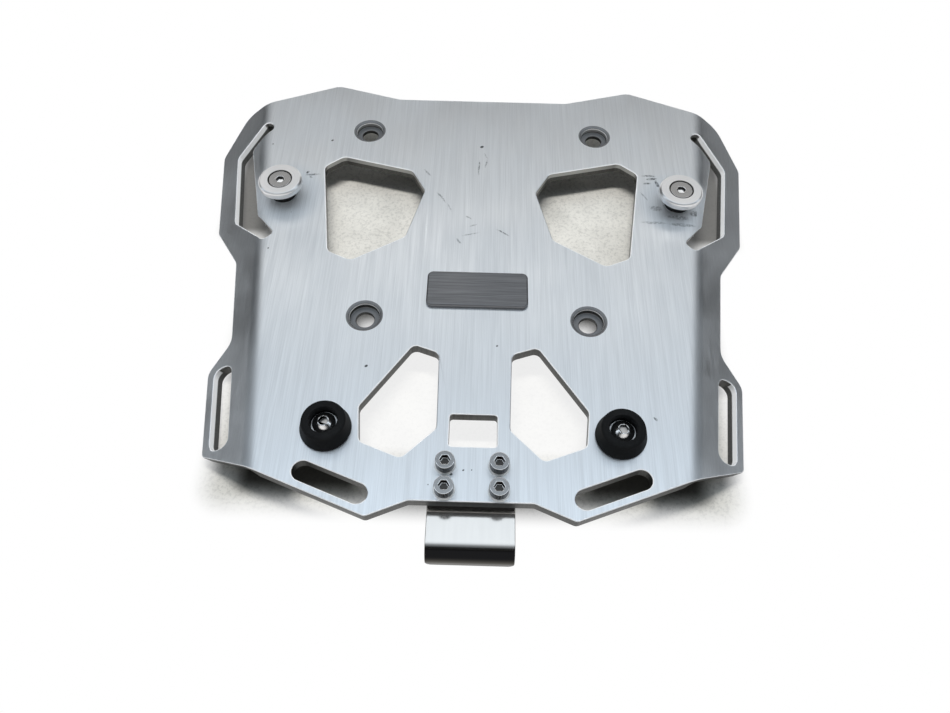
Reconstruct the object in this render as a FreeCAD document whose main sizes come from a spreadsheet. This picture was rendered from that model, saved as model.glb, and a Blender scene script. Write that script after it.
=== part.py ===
"""Top box mount: a folded aluminium rack plate with locating pucks, rubber bumpers and a latch hook.

Millimetres. +Z is up and +Y points to the front of the vehicle. The origin is the centre of the
rack bolt pattern, on the underside of the plate.
"""
import FreeCAD, Part
import math
import os

import Sketcher

Vector = FreeCAD.Vector

SIZES = {
    # Sheet of the rack plate; the front reach runs from the rack bolts' centre to the front peaks
    "plate_width": 304.6,
    "plate_length": 270.7,
    "front_reach": 103.4,
    "plate_thickness": 6.0,
    "bend_inner_radius": 10.0,
    "fold_angle": 30.0,
    "fold_line_in": 35.7,
    "fold_line_taper": 7.5,
    # Outline of the right half from above: x from the middle, or in from the ear tips; back from
    # the front peaks, or ahead of the rear points
    "front_edge_x": 49.5,
    "front_edge_back": 10.5,
    "front_edge_radius": 12.0,
    "front_peak_x": 87.0,
    "front_peak_radius": 9.0,
    "front_ear_shoulder_in": 12.1,
    "front_ear_shoulder_back": 21.6,
    "front_ear_shoulder_radius": 14.0,
    "front_ear_tip_back": 47.2,
    "front_ear_heel_in": 8.7,
    "front_ear_heel_back": 106.2,
    "ear_corner_radius": 7.0,
    "waist_front_in": 25.1,
    "waist_front_back": 131.7,
    "waist_rear_in": 32.4,
    "waist_rear_ahead": 89.6,
    "waist_radius": 9.0,
    "rear_ear_tip_in": 21.8,
    "rear_ear_tip_ahead": 75.4,
    "rear_ear_heel_in": 28.3,
    "rear_ear_heel_ahead": 31.0,
    "rear_point_x": 44.8,
    "rear_edge_x": 27.0,
    "rear_edge_ahead": 7.6,
    "rear_corner_radius": 3.0,
    # Large window beside the middle of the plate, y from the rack bolts' centre
    "side_window_outer_in": 64.9,
    "side_window_outer_y": 35.5,
    "side_window_front_in": 74.9,
    "side_window_front_y": 43.6,
    "side_window_neck_x": 38.1,
    "side_window_neck_y": 33.9,
    "side_window_inner_x": 30.3,
    "side_window_inner_y": 19.7,
    "side_window_waist_x": 38.9,
    "side_window_waist_y": -13.9,
    "side_window_rear_in": 86.6,
    "side_window_rear_y": -30.4,
    "side_window_heel_in": 73.9,
    "side_window_heel_y": -24.8,
    "side_window_radius": 4.5,
    # Window in front of each tie-down slot
    "rear_window_front_x": 29.7,
    "rear_window_front_ahead": 86.2,
    "rear_window_inner_x": 17.4,
    "rear_window_inner_ahead": 81.8,
    "rear_window_heel_x": 16.6,
    "rear_window_heel_ahead": 42.1,
    "rear_window_rear_x": 31.6,
    "rear_window_rear_ahead": 27.2,
    "rear_window_outer_x": 50.7,
    "rear_window_outer_ahead": 34.7,
    "rear_window_side_x": 52.5,
    "rear_window_side_ahead": 52.1,
    "rear_window_radius": 3.5,
    # Rectangular window over the latch
    "latch_window_half_width": 10.8,
    "latch_window_front_ahead": 49.3,
    "latch_window_rear_ahead": 33.4,
    "latch_window_radius": 1.5,
    # Tie-down slot beside the slanted rear edge, measured along that edge from the rear point
    "tie_slot_start": 7.7,
    "tie_slot_run": 26.4,
    "tie_slot_inset": 8.0,
    "tie_slot_width": 9.4,
    # Grip slot bent round the fold of the front ear
    "grip_front_inner_in": 33.1,
    "grip_front_inner_back": 36.5,
    "grip_front_outer_in": 26.7,
    "grip_front_outer_back": 32.7,
    "grip_tip_in": 10.8,
    "grip_tip_back": 53.1,
    "grip_heel_in": 18.7,
    "grip_heel_back": 102.7,
    "grip_rear_outer_in": 39.2,
    "grip_rear_outer_back": 122.2,
    "grip_rear_inner_in": 44.3,
    "grip_rear_inner_back": 116.4,
    "grip_palm_rear_in": 33.3,
    "grip_palm_rear_back": 104.3,
    "grip_palm_front_in": 20.3,
    "grip_palm_front_back": 51.7,
    "grip_end_radius": 3.3,
    "grip_corner_radius": 4.5,
    # Strap slot in the rear ear
    "strap_front_inner_in": 35.3,
    "strap_front_inner_ahead": 76.9,
    "strap_front_outer_in": 25.5,
    "strap_front_outer_ahead": 75.4,
    "strap_rear_outer_in": 31.9,
    "strap_rear_outer_ahead": 32.2,
    "strap_rear_inner_in": 41.7,
    "strap_rear_inner_ahead": 33.7,
    "strap_radius": 4.4,
    # Rack bolt holes
    "rack_bolt_length": 130.0,
    "rack_bolt_front_width": 130.0,
    "rack_bolt_rear_width": 110.0,
    "rack_hole_diameter": 9.0,
    "rack_counterbore_diameter": 15.0,
    "rack_counterbore_depth": 3.6,
    "rack_chamfer_diameter": 18.0,
    "rack_chamfer_depth": 0.9,
    # Bare badge plate
    "badge_width": 50.6,
    "badge_length": 21.4,
    "badge_thickness": 2.0,
    "badge_y": -48.3,
    "badge_radius": 3.0,
    "badge_edge": 0.6,
    # Locating pucks and their bushes
    "puck_in": 45.3,
    "puck_back": 89.1,
    "puck_diameter": 23.0,
    "puck_thickness": 4.6,
    "puck_edge": 0.9,
    "bush_height": 6.4,
    "bush_diameter": 13.6,
    # Rubber bumpers
    "bumper_x": 66.0,
    "bumper_ahead": 40.6,
    "bumper_base_diameter": 23.1,
    "bumper_top_diameter": 19.4,
    "bumper_height": 8.4,
    "bumper_foot": 1.2,
    "bumper_rounding": 1.4,
    "bumper_recess_diameter": 12.6,
    "bumper_floor": 2.4,
    # Latch hook and its spacer
    "hook_width": 38.6,
    "hook_thickness": 3.0,
    "hook_front_margin": 5.4,
    "hook_reach": 13.3,
    "hook_outer_radius": 8.0,
    "hook_tail": 2.6,
    "hook_corner_radius": 3.0,
    "spacer_height": 3.4,
    "spacer_setback": 1.2,
    "hook_screw_x": 11.8,
    "hook_screw_edge": 5.1,
    "hook_screw_pitch": 11.6,
    # Small screws of the hook
    "small_screw_diameter": 5.0,
    "small_screw_head_diameter": 8.5,
    "small_screw_head_height": 5.0,
    "small_screw_socket": 4.0,
    "small_socket_depth": 2.6,
    "small_washer_diameter": 9.6,
    "small_washer_thickness": 1.0,
    "small_nut_flats": 8.0,
    "small_nut_height": 3.6,
    "small_nut_collar": 1.4,
    "small_nut_collar_diameter": 7.0,
    # Large screws of the pucks and bumpers
    "large_screw_diameter": 6.0,
    "large_screw_socket": 4.0,
    "large_socket_depth": 2.0,
    "countersunk_head_diameter": 12.0,
    "button_head_diameter": 10.5,
    "button_head_height": 3.3,
    "button_crown_diameter": 4.9,
    "button_skirt_height": 1.1,
    "large_washer_diameter": 12.0,
    "large_washer_thickness": 1.6,
    "large_nut_flats": 10.0,
    "large_nut_height": 4.4,
    "large_nut_collar": 1.6,
    "large_nut_collar_diameter": 8.8,
    # Fits
    "screw_clearance": 0.5,
    "screw_end_proud": 1.0,
    "head_shy": 0.2,
}

# Reference lines of the plate
RIM = "(plate_width / 2)"
REAR = "(front_reach - plate_length)"
REAR_EDGE = "(front_reach - plate_length + rear_edge_ahead)"
TOP = "plate_thickness"
PUCK_X = "(plate_width / 2 - puck_in)"
PUCK_Y = "(front_reach - puck_back)"
BUMPER_Y = "(front_reach - plate_length + bumper_ahead)"
HOOK_REAR_ROW = "(front_reach - plate_length + rear_edge_ahead + hook_screw_edge)"
HOOK_FRONT_ROW = "(front_reach - plate_length + rear_edge_ahead + hook_screw_edge + hook_screw_pitch)"
HOOK_ROWS = (("front", HOOK_FRONT_ROW), ("rear", HOOK_REAR_ROW))
SIDES = (("left", "-"), ("right", ""))

# Edges nearer than this to a place are taken to lie on it
SNAP = 0.01

doc = FreeCAD.newDocument("top_box_mount")


def fill_sheet():
    sheet = doc.addObject("Spreadsheet::Sheet", "sizes")
    for row, (alias, value) in enumerate(SIZES.items(), start=1):
        sheet.set("A%d" % row, alias)
        sheet.set("B%d" % row, str(value))
        sheet.setAlias("B%d" % row, alias)
    doc.recompute()
    return sheet


sizes = fill_sheet()


def formula(text):
    """Write an expression in which every size is read from the sheet."""
    words = []
    word = ""
    for letter in text + " ":
        if letter.isalnum() or letter == "_":
            word += letter
            continue
        words.append("sizes." + word if word in SIZES else word)
        words.append(letter)
        word = ""
    return "".join(words).strip()


def value_of(text):
    """The number that a formula has now."""
    return float(sizes.evalExpression(formula(text).replace("sizes.", "")))


def bind(thing, **bindings):
    for name, text in bindings.items():
        thing.setExpression(name, formula(text))
    return thing


def place(thing, x="0", y="0", z="0"):
    for axis, text in (("x", x), ("y", y), ("z", z)):
        thing.setExpression("Placement.Base." + axis, formula(text))
    return thing


# Sketches

def corner_arc(before, corner, after, radius):
    """Centre, tangent points and turning sense of the arc that rounds one corner."""
    towards = (before - corner).normalize()
    away = (after - corner).normalize()
    half = towards.getAngle(away) / 2
    start = corner + towards * (radius / math.tan(half))
    end = corner + away * (radius / math.tan(half))
    centre = corner + (towards + away).normalize() * (radius / math.sin(half))
    left_turn = (corner - before).cross(after - corner).z > 0
    return centre, start, end, left_turn


def hold_point(sketch, geometry, vertex, x, y, name):
    """Dimension one point from the sketch origin."""
    for axis, text, line in (("X", x, -2), ("Y", y, -1)):
        if text == "0":
            sketch.addConstraint(Sketcher.Constraint("PointOnObject", geometry, vertex, line))
            continue
        index = sketch.addConstraint(
            Sketcher.Constraint("Distance" + axis, -1, 1, geometry, vertex, value_of(text)))
        sketch.renameConstraint(index, name + axis.lower())
        sketch.setExpression("Constraints." + name + axis.lower(), formula(text))


def draw_outline(sketch, corners):
    """Draw a closed outline from corners (x, y, radius), where a radius of None stays sharp."""
    points = [Vector(value_of(x), value_of(y), 0) for x, y, radius in corners]
    count = len(corners)
    ends = []
    for index, (x, y, radius) in enumerate(corners):
        if radius is None:
            ends.append((None, points[index], points[index], True))
            continue
        ends.append(corner_arc(points[index - 1], points[index], points[(index + 1) % count],
                               value_of(radius)))
    lines = []
    for index in range(count):
        segment = Part.LineSegment(ends[index - 1][2], ends[index][1])
        lines.append(sketch.addGeometry(segment, False))
    for index, (x, y, radius) in enumerate(corners):
        incoming, outgoing = lines[index], lines[(index + 1) % count]
        name = "corner%d" % (index + 1)
        if radius is None:
            sketch.addConstraint(Sketcher.Constraint("Coincident", incoming, 2, outgoing, 1))
            hold_point(sketch, incoming, 2, x, y, name)
            continue
        centre, start, end, left_turn = ends[index]
        first, last = (start, end) if left_turn else (end, start)
        angles = [math.atan2(point.y - centre.y, point.x - centre.x) for point in (first, last)]
        circle = Part.Circle(centre, Vector(0, 0, 1), value_of(radius))
        arc = sketch.addGeometry(Part.ArcOfCircle(circle, angles[0], angles[1]), False)
        near, far = (1, 2) if left_turn else (2, 1)
        sketch.addConstraint(Sketcher.Constraint("Tangent", incoming, 2, arc, near))
        sketch.addConstraint(Sketcher.Constraint("Tangent", arc, far, outgoing, 1))
        size = sketch.addConstraint(Sketcher.Constraint("Radius", arc, value_of(radius)))
        sketch.renameConstraint(size, name + "r")
        sketch.setExpression("Constraints." + name + "r", formula(radius))
        mark = sketch.addGeometry(Part.Point(points[index]), True)
        sketch.addConstraint(Sketcher.Constraint("PointOnObject", mark, 1, incoming))
        sketch.addConstraint(Sketcher.Constraint("PointOnObject", mark, 1, outgoing))
        hold_point(sketch, mark, 1, x, y, name)


def corner(name, radius):
    """A plan corner, from whichever of its two pairs of sizes the sheet has."""
    x = name + "_x" if name + "_x" in SIZES else "%s - %s_in" % (RIM, name)
    if name + "_y" in SIZES:
        y = name + "_y"
    elif name + "_back" in SIZES:
        y = "front_reach - %s_back" % name
    else:
        y = "%s + %s_ahead" % (REAR, name)
    return x, y, radius


def corners_of(stem, names, radius):
    return [corner(stem + "_" + name, radius) for name in names]


def plane_of(body, role):
    return next(plane for plane in body.Origin.OriginFeatures if plane.Role == role)


def body_sketch(body, name, role, corners):
    sketch = body.newObject("Sketcher::SketchObject", name)
    sketch.AttachmentSupport = [(plane_of(body, role), "")]
    sketch.MapMode = "FlatFace"
    draw_outline(sketch, corners)
    doc.recompute()
    return sketch


# Turned, drilled and prismatic pieces

def cylinder(name, radius, height, x="0", y="0", z="0"):
    piece = bind(doc.addObject("Part::Cylinder", name), Radius=radius, Height=height)
    return place(piece, x, y, z)


def cone(name, lower, upper, height, x="0", y="0", z="0"):
    piece = bind(doc.addObject("Part::Cone", name), Radius1=lower, Radius2=upper, Height=height)
    return place(piece, x, y, z)


def hexagon(name, flats, height, x="0", y="0", z="0"):
    piece = doc.addObject("Part::Prism", name)
    piece.Polygon = 6
    bind(piece, Circumradius=flats + " / sqrt(3)", Height=height)
    return place(piece, x, y, z)


def fuse(name, shapes):
    joined = doc.addObject("Part::MultiFuse", name)
    joined.Shapes = shapes
    return joined


def cut(name, base, tool):
    result = doc.addObject("Part::Cut", name)
    result.Base = base
    result.Tool = tool
    return result


def group(name, pieces):
    bundle = doc.addObject("Part::Compound", name)
    bundle.Links = pieces
    return bundle


def turned(name, corners, x, y, z):
    """A body turned about its own upright axis from a profile of (radius, height) corners."""
    body = doc.addObject("PartDesign::Body", name)
    profile = body_sketch(body, name + "_profile", "XZ_Plane", corners)
    spin = body.newObject("PartDesign::Revolution", name + "_turning")
    spin.Profile = profile
    spin.ReferenceAxis = (profile, ["V_Axis"])
    spin.Angle = 360
    return place(body, x, y, z)


def ring(name, outer, inner, height, x, y, z):
    blank = cylinder(name + "_blank", outer, height, x, y, z)
    bore = cylinder(name + "_bore", inner, height, x, y, z)
    return cut(name, blank, bore)


def lock_nut(name, size, x, y, top):
    """Hexagon nut with the round collar of its locking insert, hung under the height top."""
    nut_height = size + "_nut_height"
    collar = size + "_nut_collar"
    blank = fuse(name + "_blank", [
        hexagon(name + "_hexagon", size + "_nut_flats", nut_height, x, y, "%s - %s" % (top, nut_height)),
        cylinder(name + "_collar", size + "_nut_collar_diameter / 2", collar, x, y,
                 "%s - %s - %s" % (top, nut_height, collar)),
    ])
    thread = cylinder(name + "_thread", size + "_screw_diameter / 2", nut_height + " + " + collar, x, y,
                      "%s - %s - %s" % (top, nut_height, collar))
    return cut(name, blank, thread)


def socket_screw(name, size, head, crown, x, y, seat, end):
    """Screw with a hexagon socket: head solid, top of the head, seat of the head and lower end."""
    shank = cylinder(name + "_shank", size + "_screw_diameter / 2", "%s - (%s)" % (seat, end), x, y, end)
    depth = size + "_socket_depth"
    socket = hexagon(name + "_socket", size + "_screw_socket", depth + " + head_shy", x, y,
                     "%s - %s" % (crown, depth))
    return cut(name, fuse(name + "_blank", [head, shank]), socket)


# Rack plate

OUTER_BEND = "(bend_inner_radius + plate_thickness)"


def plan_tool(name, corners):
    """Upright prism of a plan outline, taller than the plate."""
    sketch = doc.addObject("Sketcher::SketchObject", name + "_outline")
    draw_outline(sketch, corners)
    prism = doc.addObject("Part::Extrusion", name)
    prism.Base = sketch
    prism.DirMode = "Normal"
    prism.Solid = True
    return bind(prism, LengthFwd="plate_width / 4", LengthRev="plate_width / 4")


def folded_skin():
    """Upper skin of the right half: a line, the bend and the wing, drawn along the fold line."""
    profile = doc.addObject("Sketcher::SketchObject", "fold_profile")
    profile.Placement.Rotation = FreeCAD.Rotation(Vector(1, 0, 0), 90)
    profile.setExpression("Placement.Rotation", formula(
        "rotation(vector(0; 0; 1); 0 - fold_line_taper) * rotation(vector(1; 0; 0); 90)"))
    across = "(%s - fold_line_in) * cos(fold_line_taper)" % RIM
    fold = Vector(value_of(across), value_of(TOP), 0)
    sheet_width = value_of("plate_width")
    angle = math.radians(value_of("fold_angle"))
    radius = value_of(OUTER_BEND)
    reach = radius * math.tan(angle / 2)
    start = fold - Vector(reach, 0, 0)
    wing = Vector(math.cos(angle), -math.sin(angle), 0)
    end = fold + wing * reach
    flat_line = profile.addGeometry(Part.LineSegment(start - Vector(sheet_width, 0, 0), start), False)
    wing_line = profile.addGeometry(Part.LineSegment(end, end + wing * sheet_width), False)
    circle = Part.Circle(start - Vector(0, radius, 0), Vector(0, 0, 1), radius)
    bend = profile.addGeometry(Part.ArcOfCircle(circle, math.pi / 2 - angle, math.pi / 2), False)
    mark = profile.addGeometry(Part.Point(fold), True)
    for rule in (
        Sketcher.Constraint("Horizontal", flat_line),
        Sketcher.Constraint("Tangent", flat_line, 2, bend, 2),
        Sketcher.Constraint("Tangent", bend, 1, wing_line, 1),
        Sketcher.Constraint("PointOnObject", mark, 1, flat_line),
        Sketcher.Constraint("PointOnObject", mark, 1, wing_line),
    ):
        profile.addConstraint(rule)
    for rule, text in (
        (Sketcher.Constraint("Distance", flat_line, sheet_width), "plate_width"),
        (Sketcher.Constraint("Distance", wing_line, sheet_width), "plate_width"),
        (Sketcher.Constraint("Radius", bend, radius), OUTER_BEND),
        (Sketcher.Constraint("Angle", wing_line, 1, -1, 1, angle), "fold_angle"),
    ):
        profile.setExpression("Constraints[%d]" % profile.addConstraint(rule), formula(text))
    hold_point(profile, mark, 1, across, TOP, "fold")
    skin = doc.addObject("Part::Extrusion", "folded_skin")
    skin.Base = profile
    skin.DirMode = "Normal"
    return bind(skin, LengthFwd="plate_length", LengthRev="plate_length")


def plate_outline():
    return [
        ("0", "front_reach - front_edge_back", None),
        ("0", REAR_EDGE, None),
        corner("rear_edge", "rear_corner_radius"),
        ("rear_point_x", REAR, "rear_corner_radius"),
        corner("rear_ear_heel", "rear_corner_radius"),
        corner("rear_ear_tip", "ear_corner_radius"),
        corner("waist_rear", "waist_radius"),
        corner("waist_front", "waist_radius"),
        corner("front_ear_heel", "ear_corner_radius"),
        (RIM, "front_reach - front_ear_tip_back", "ear_corner_radius"),
        corner("front_ear_shoulder", "front_ear_shoulder_radius"),
        ("front_peak_x", "front_reach", "front_peak_radius"),
        corner("front_edge", "front_edge_radius"),
    ]


def grip_slot():
    ends = {"front_inner", "front_outer", "rear_outer", "rear_inner"}
    order = ("front_inner", "palm_front", "palm_rear", "rear_inner",
             "rear_outer", "heel", "tip", "front_outer")
    return [corner("grip_" + name, "grip_end_radius" if name in ends else "grip_corner_radius")
            for name in order]


def tie_slot():
    """Straight slot with round ends, parallel to the slanted rear edge."""
    low = "0 - plate_thickness"
    height = "3 * plate_thickness"
    slope = "atan(rear_ear_heel_ahead / (%s - rear_ear_heel_in - rear_point_x))" % RIM

    def beside_edge(along, inset):
        x = "rear_point_x + (%s) * cos(%s) - (%s) * sin(%s)" % (along, slope, inset, slope)
        y = "%s + (%s) * sin(%s) + (%s) * cos(%s)" % (REAR, along, slope, inset, slope)
        return x, y, low

    ends = []
    for end, along in (("inner", "tie_slot_start"), ("outer", "tie_slot_start + tie_slot_run")):
        middle_of_end = beside_edge(along, "tie_slot_inset")
        ends.append(cylinder("tie_slot_%s_end" % end, "tie_slot_width / 2", height, *middle_of_end))
    middle = bind(doc.addObject("Part::Box", "tie_slot_middle"),
                  Length="tie_slot_run", Width="tie_slot_width", Height=height)
    middle.setExpression("Placement.Rotation.Angle", formula(slope))
    place(middle, *beside_edge("tie_slot_start", "tie_slot_inset - tie_slot_width / 2"))
    return fuse("tie_slot", ends + [middle])


def half_sheet():
    """Right half of the sheet: the skin trimmed in plan, then thickened square to itself."""
    trimmed = doc.addObject("Part::Common", "trimmed_skin")
    trimmed.Base = folded_skin()
    trimmed.Tool = plan_tool("half_blank", plate_outline())
    cut_outs = group("half_cut_outs", [
        plan_tool("side_window", corners_of(
            "side_window", ("outer", "front", "neck", "inner", "waist", "rear", "heel"),
            "side_window_radius")),
        plan_tool("rear_window", corners_of(
            "rear_window", ("front", "inner", "heel", "rear", "outer", "side"), "rear_window_radius")),
        plan_tool("grip_slot", grip_slot()),
        plan_tool("strap_slot", corners_of(
            "strap", ("front_outer", "front_inner", "rear_inner", "rear_outer"), "strap_radius")),
        tie_slot(),
    ])
    pierced = cut("pierced_skin", trimmed, cut_outs)
    sheet = doc.addObject("Part::Offset", "half_sheet")
    sheet.Source = pierced
    sheet.Fill = True
    bind(sheet, Value="0 - plate_thickness")
    return sheet


def rack_hole(name, x, y):
    """Counterbored and chamfered hole for one rack bolt."""
    return [
        cylinder(name + "_bore", "rack_hole_diameter / 2", "3 * plate_thickness",
                 x, y, "0 - plate_thickness"),
        cylinder(name + "_counterbore", "rack_counterbore_diameter / 2", "2 * rack_counterbore_depth",
                 x, y, TOP + " - rack_counterbore_depth"),
        cone(name + "_chamfer", "rack_counterbore_diameter / 2", "rack_chamfer_diameter / 2",
             "rack_chamfer_depth", x, y, TOP + " - rack_chamfer_depth"),
    ]


def screw_hole(name, diameter, x, y):
    return cylinder(name, "(%s + screw_clearance) / 2" % diameter, "3 * plate_thickness", x, y,
                    "0 - plate_thickness")


def plate_holes():
    half = "latch_window_half_width"
    ahead, behind = [REAR + " + latch_window_%s_ahead" % end for end in ("front", "rear")]
    tools = [plan_tool("latch_window", [
        (x, y, "latch_window_radius")
        for x, y in ((half, ahead), ("0 - " + half, ahead), ("0 - " + half, behind), (half, behind))
    ])]
    for side, sign in SIDES:
        tools += rack_hole("front_%s_rack_hole" % side, sign + "rack_bolt_front_width / 2",
                           "rack_bolt_length / 2")
        tools += rack_hole("rear_%s_rack_hole" % side, sign + "rack_bolt_rear_width / 2",
                           "0 - rack_bolt_length / 2")
        tools.append(screw_hole(side + "_puck_hole", "large_screw_diameter", sign + PUCK_X, PUCK_Y))
        tools.append(screw_hole(side + "_bumper_hole", "large_screw_diameter",
                                sign + "bumper_x", BUMPER_Y))
        for row, y in HOOK_ROWS:
            tools.append(screw_hole("%s_%s_hook_hole" % (row, side), "small_screw_diameter",
                                    sign + "hook_screw_x", y))
    return fuse("plate_holes", tools)


def rack_plate():
    right = half_sheet()
    left = doc.addObject("Part::Mirroring", "left_half_sheet")
    left.Source = right
    left.Normal = Vector(1, 0, 0)
    whole = fuse("whole_sheet", [right, left])
    whole.Refine = True
    return cut("rack_plate", whole, plate_holes())


# Badge, pucks and bumpers

def badge_plate():
    body = doc.addObject("PartDesign::Body", "badge_plate")
    across = ["badge_width / 2", "0 - badge_width / 2"]
    along = ["badge_length / 2", "0 - badge_length / 2"]
    outline = body_sketch(body, "badge_outline", "XY_Plane", [
        (across[0], along[0], "badge_radius"),
        (across[1], along[0], "badge_radius"),
        (across[1], along[1], "badge_radius"),
        (across[0], along[1], "badge_radius"),
    ])
    pad = body.newObject("PartDesign::Pad", "badge_pad")
    pad.Profile = outline
    bind(pad, Length="badge_thickness")
    doc.recompute()
    top_face = max(range(len(pad.Shape.Faces)), key=lambda index: pad.Shape.Faces[index].CenterOfMass.z)
    edge = body.newObject("PartDesign::Chamfer", "badge_edge_chamfer")
    edge.Base = (pad, ["Face%d" % (top_face + 1)])
    bind(edge, Size="badge_edge")
    return place(body, y="badge_y", z=TOP)


PUCK_BASE = "(plate_thickness + bush_height)"
PUCK_TOP = "(plate_thickness + bush_height + puck_thickness)"
HEAD_RADIUS = "countersunk_head_diameter / 2"
SINK_DEPTH = "((countersunk_head_diameter - large_screw_diameter) / 2)"
LARGE_BORE = "(large_screw_diameter + screw_clearance) / 2"
LARGE_SCREW_END = "0 - large_washer_thickness - large_nut_height - large_nut_collar - screw_end_proud"


def puck(side, sign):
    """Turned disc with broken edges and a countersunk seat."""
    rim = "puck_diameter / 2"
    return turned(side + "_puck", [
        (LARGE_BORE, "0", None),
        (rim + " - puck_edge", "0", None),
        (rim, "puck_edge", None),
        (rim, "puck_thickness - puck_edge", None),
        (rim + " - puck_edge", "puck_thickness", None),
        (HEAD_RADIUS, "puck_thickness", None),
        (HEAD_RADIUS, "puck_thickness - head_shy", None),
        (LARGE_BORE, "puck_thickness - head_shy - %s + screw_clearance / 2" % SINK_DEPTH, None),
    ], sign + PUCK_X, PUCK_Y, PUCK_BASE)


def puck_screw(side, sign):
    name = side + "_puck_screw"
    x = sign + PUCK_X
    crown = PUCK_TOP + " - head_shy"
    seat = "(%s - %s)" % (crown, SINK_DEPTH)
    head = cone(name + "_head", "large_screw_diameter / 2", HEAD_RADIUS, SINK_DEPTH, x, PUCK_Y, seat)
    return socket_screw(name, "large", head, crown, x, PUCK_Y, seat, LARGE_SCREW_END)


def bumper(side, sign):
    """Moulded rubber buffer with a recess for its washer and screw."""
    foot = "bumper_base_diameter / 2"
    crown = "bumper_top_diameter / 2"
    recess = "bumper_recess_diameter / 2"
    return turned(side + "_bumper", [
        (LARGE_BORE, "0", None),
        (foot, "0", None),
        (foot, "bumper_foot", None),
        (crown, "bumper_height", "bumper_rounding"),
        (recess, "bumper_height", None),
        (recess, "bumper_floor", None),
        (LARGE_BORE, "bumper_floor", None),
    ], sign + "bumper_x", BUMPER_Y, TOP)


BUMPER_SEAT = "(plate_thickness + bumper_floor + large_washer_thickness)"


def bumper_screw(side, sign):
    """Screw with a low domed head: a short skirt and a sloping crown."""
    name = side + "_bumper_screw"
    x = sign + "bumper_x"
    radius = "button_head_diameter / 2"
    skirt = cylinder(name + "_skirt", radius, "button_skirt_height", x, BUMPER_Y, BUMPER_SEAT)
    dome = cone(name + "_dome", radius, "button_crown_diameter / 2",
                "button_head_height - button_skirt_height",
                x, BUMPER_Y, BUMPER_SEAT + " + button_skirt_height")
    head = fuse(name + "_head", [skirt, dome])
    crown = BUMPER_SEAT + " + button_head_height"
    return socket_screw(name, "large", head, crown, x, BUMPER_Y, BUMPER_SEAT, LARGE_SCREW_END)


def large_washer(name, x, y, z):
    return ring(name, "large_washer_diameter / 2", LARGE_BORE, "large_washer_thickness", x, y, z)


# Latch hook

HOOK_TOP = "(0 - spacer_height)"
HOOK_UNDERSIDE = "(0 - spacer_height - hook_thickness)"
SMALL_BORE = "(small_screw_diameter + screw_clearance) / 2"


def hook_holes(name, z, height):
    return fuse(name, [
        cylinder("%s_%s_%s" % (name, row, side), SMALL_BORE, height, sign + "hook_screw_x", y, z)
        for row, y in HOOK_ROWS for side, sign in SIDES
    ])


def latch_hook():
    """Flat strip under the plate whose lip curls down behind the rear edge."""
    body = doc.addObject("PartDesign::Body", "latch_hook_strip")
    front_y = HOOK_FRONT_ROW + " + hook_front_margin"
    outer_y = REAR_EDGE + " - hook_reach - hook_outer_radius"
    inner_y = outer_y + " + hook_thickness"
    tail_z = HOOK_TOP + " - hook_outer_radius - hook_tail"
    profile = body_sketch(body, "hook_profile", "YZ_Plane", [
        (front_y, HOOK_UNDERSIDE, None),
        (front_y, HOOK_TOP, None),
        (outer_y, HOOK_TOP, "hook_outer_radius"),
        (outer_y, tail_z, None),
        (inner_y, tail_z, None),
        (inner_y, HOOK_UNDERSIDE, "hook_outer_radius - hook_thickness"),
    ])
    pad = body.newObject("PartDesign::Pad", "hook_pad")
    pad.Profile = profile
    pad.Midplane = True
    bind(pad, Length="hook_width")
    doc.recompute()
    tail = value_of(tail_z)
    front = value_of(front_y)
    corners = []
    for index, edge in enumerate(pad.Shape.Edges, start=1):
        box = edge.BoundBox
        upright_at_front = box.ZLength > box.YLength and abs(box.Center.y - front) < SNAP
        along_tail = box.YLength > box.XLength and abs(box.Center.z - tail) < SNAP
        if box.XLength < SNAP and (upright_at_front or along_tail):
            corners.append("Edge%d" % index)
    rounding = body.newObject("PartDesign::Fillet", "hook_corners")
    rounding.Base = (pad, corners)
    bind(rounding, Radius="hook_corner_radius")
    return cut("latch_hook", body, hook_holes("hook_strip_holes", HOOK_UNDERSIDE, "hook_thickness"))


def hook_spacer():
    """Packing plate between the hook and the rack plate."""
    blank = bind(doc.addObject("Part::Box", "hook_spacer_blank"), Length="hook_width",
                 Width="hook_screw_edge + hook_screw_pitch + hook_front_margin - spacer_setback",
                 Height="spacer_height")
    place(blank, "0 - hook_width / 2", REAR_EDGE + " + spacer_setback", HOOK_TOP)
    return cut("hook_spacer", blank, hook_holes("hook_spacer_holes", HOOK_TOP, "spacer_height"))


def hook_screw(name, x, y):
    seat = "(plate_thickness + small_washer_thickness)"
    crown = seat + " + small_screw_head_height"
    head = cylinder(name + "_head", "small_screw_head_diameter / 2", "small_screw_head_height",
                    x, y, seat)
    end = HOOK_UNDERSIDE + " - small_nut_height - small_nut_collar - screw_end_proud"
    return socket_screw(name, "small", head, crown, x, y, seat, end)


def hook_fasteners():
    screws, washers, nuts = [], [], []
    for row, y in HOOK_ROWS:
        for side, sign in SIDES:
            stem = "%s_%s_hook" % (row, side)
            x = sign + "hook_screw_x"
            screws.append(hook_screw(stem + "_screw", x, y))
            washers.append(ring(stem + "_washer", "small_washer_diameter / 2", SMALL_BORE,
                                "small_washer_thickness", x, y, TOP))
            nuts.append(lock_nut(stem + "_nut", "small", x, y, HOOK_UNDERSIDE))
    return [group("hook_screws", screws), group("hook_washers", washers), group("hook_lock_nuts", nuts)]


def side_pieces(make):
    return [make(side, sign) for side, sign in SIDES]


def puck_bush(side, sign):
    return ring(side + "_puck_bush", "bush_diameter / 2", LARGE_BORE, "bush_height",
                sign + PUCK_X, PUCK_Y, TOP)


PLACES = {"puck": (PUCK_X, PUCK_Y), "bumper": ("bumper_x", BUMPER_Y)}


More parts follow.
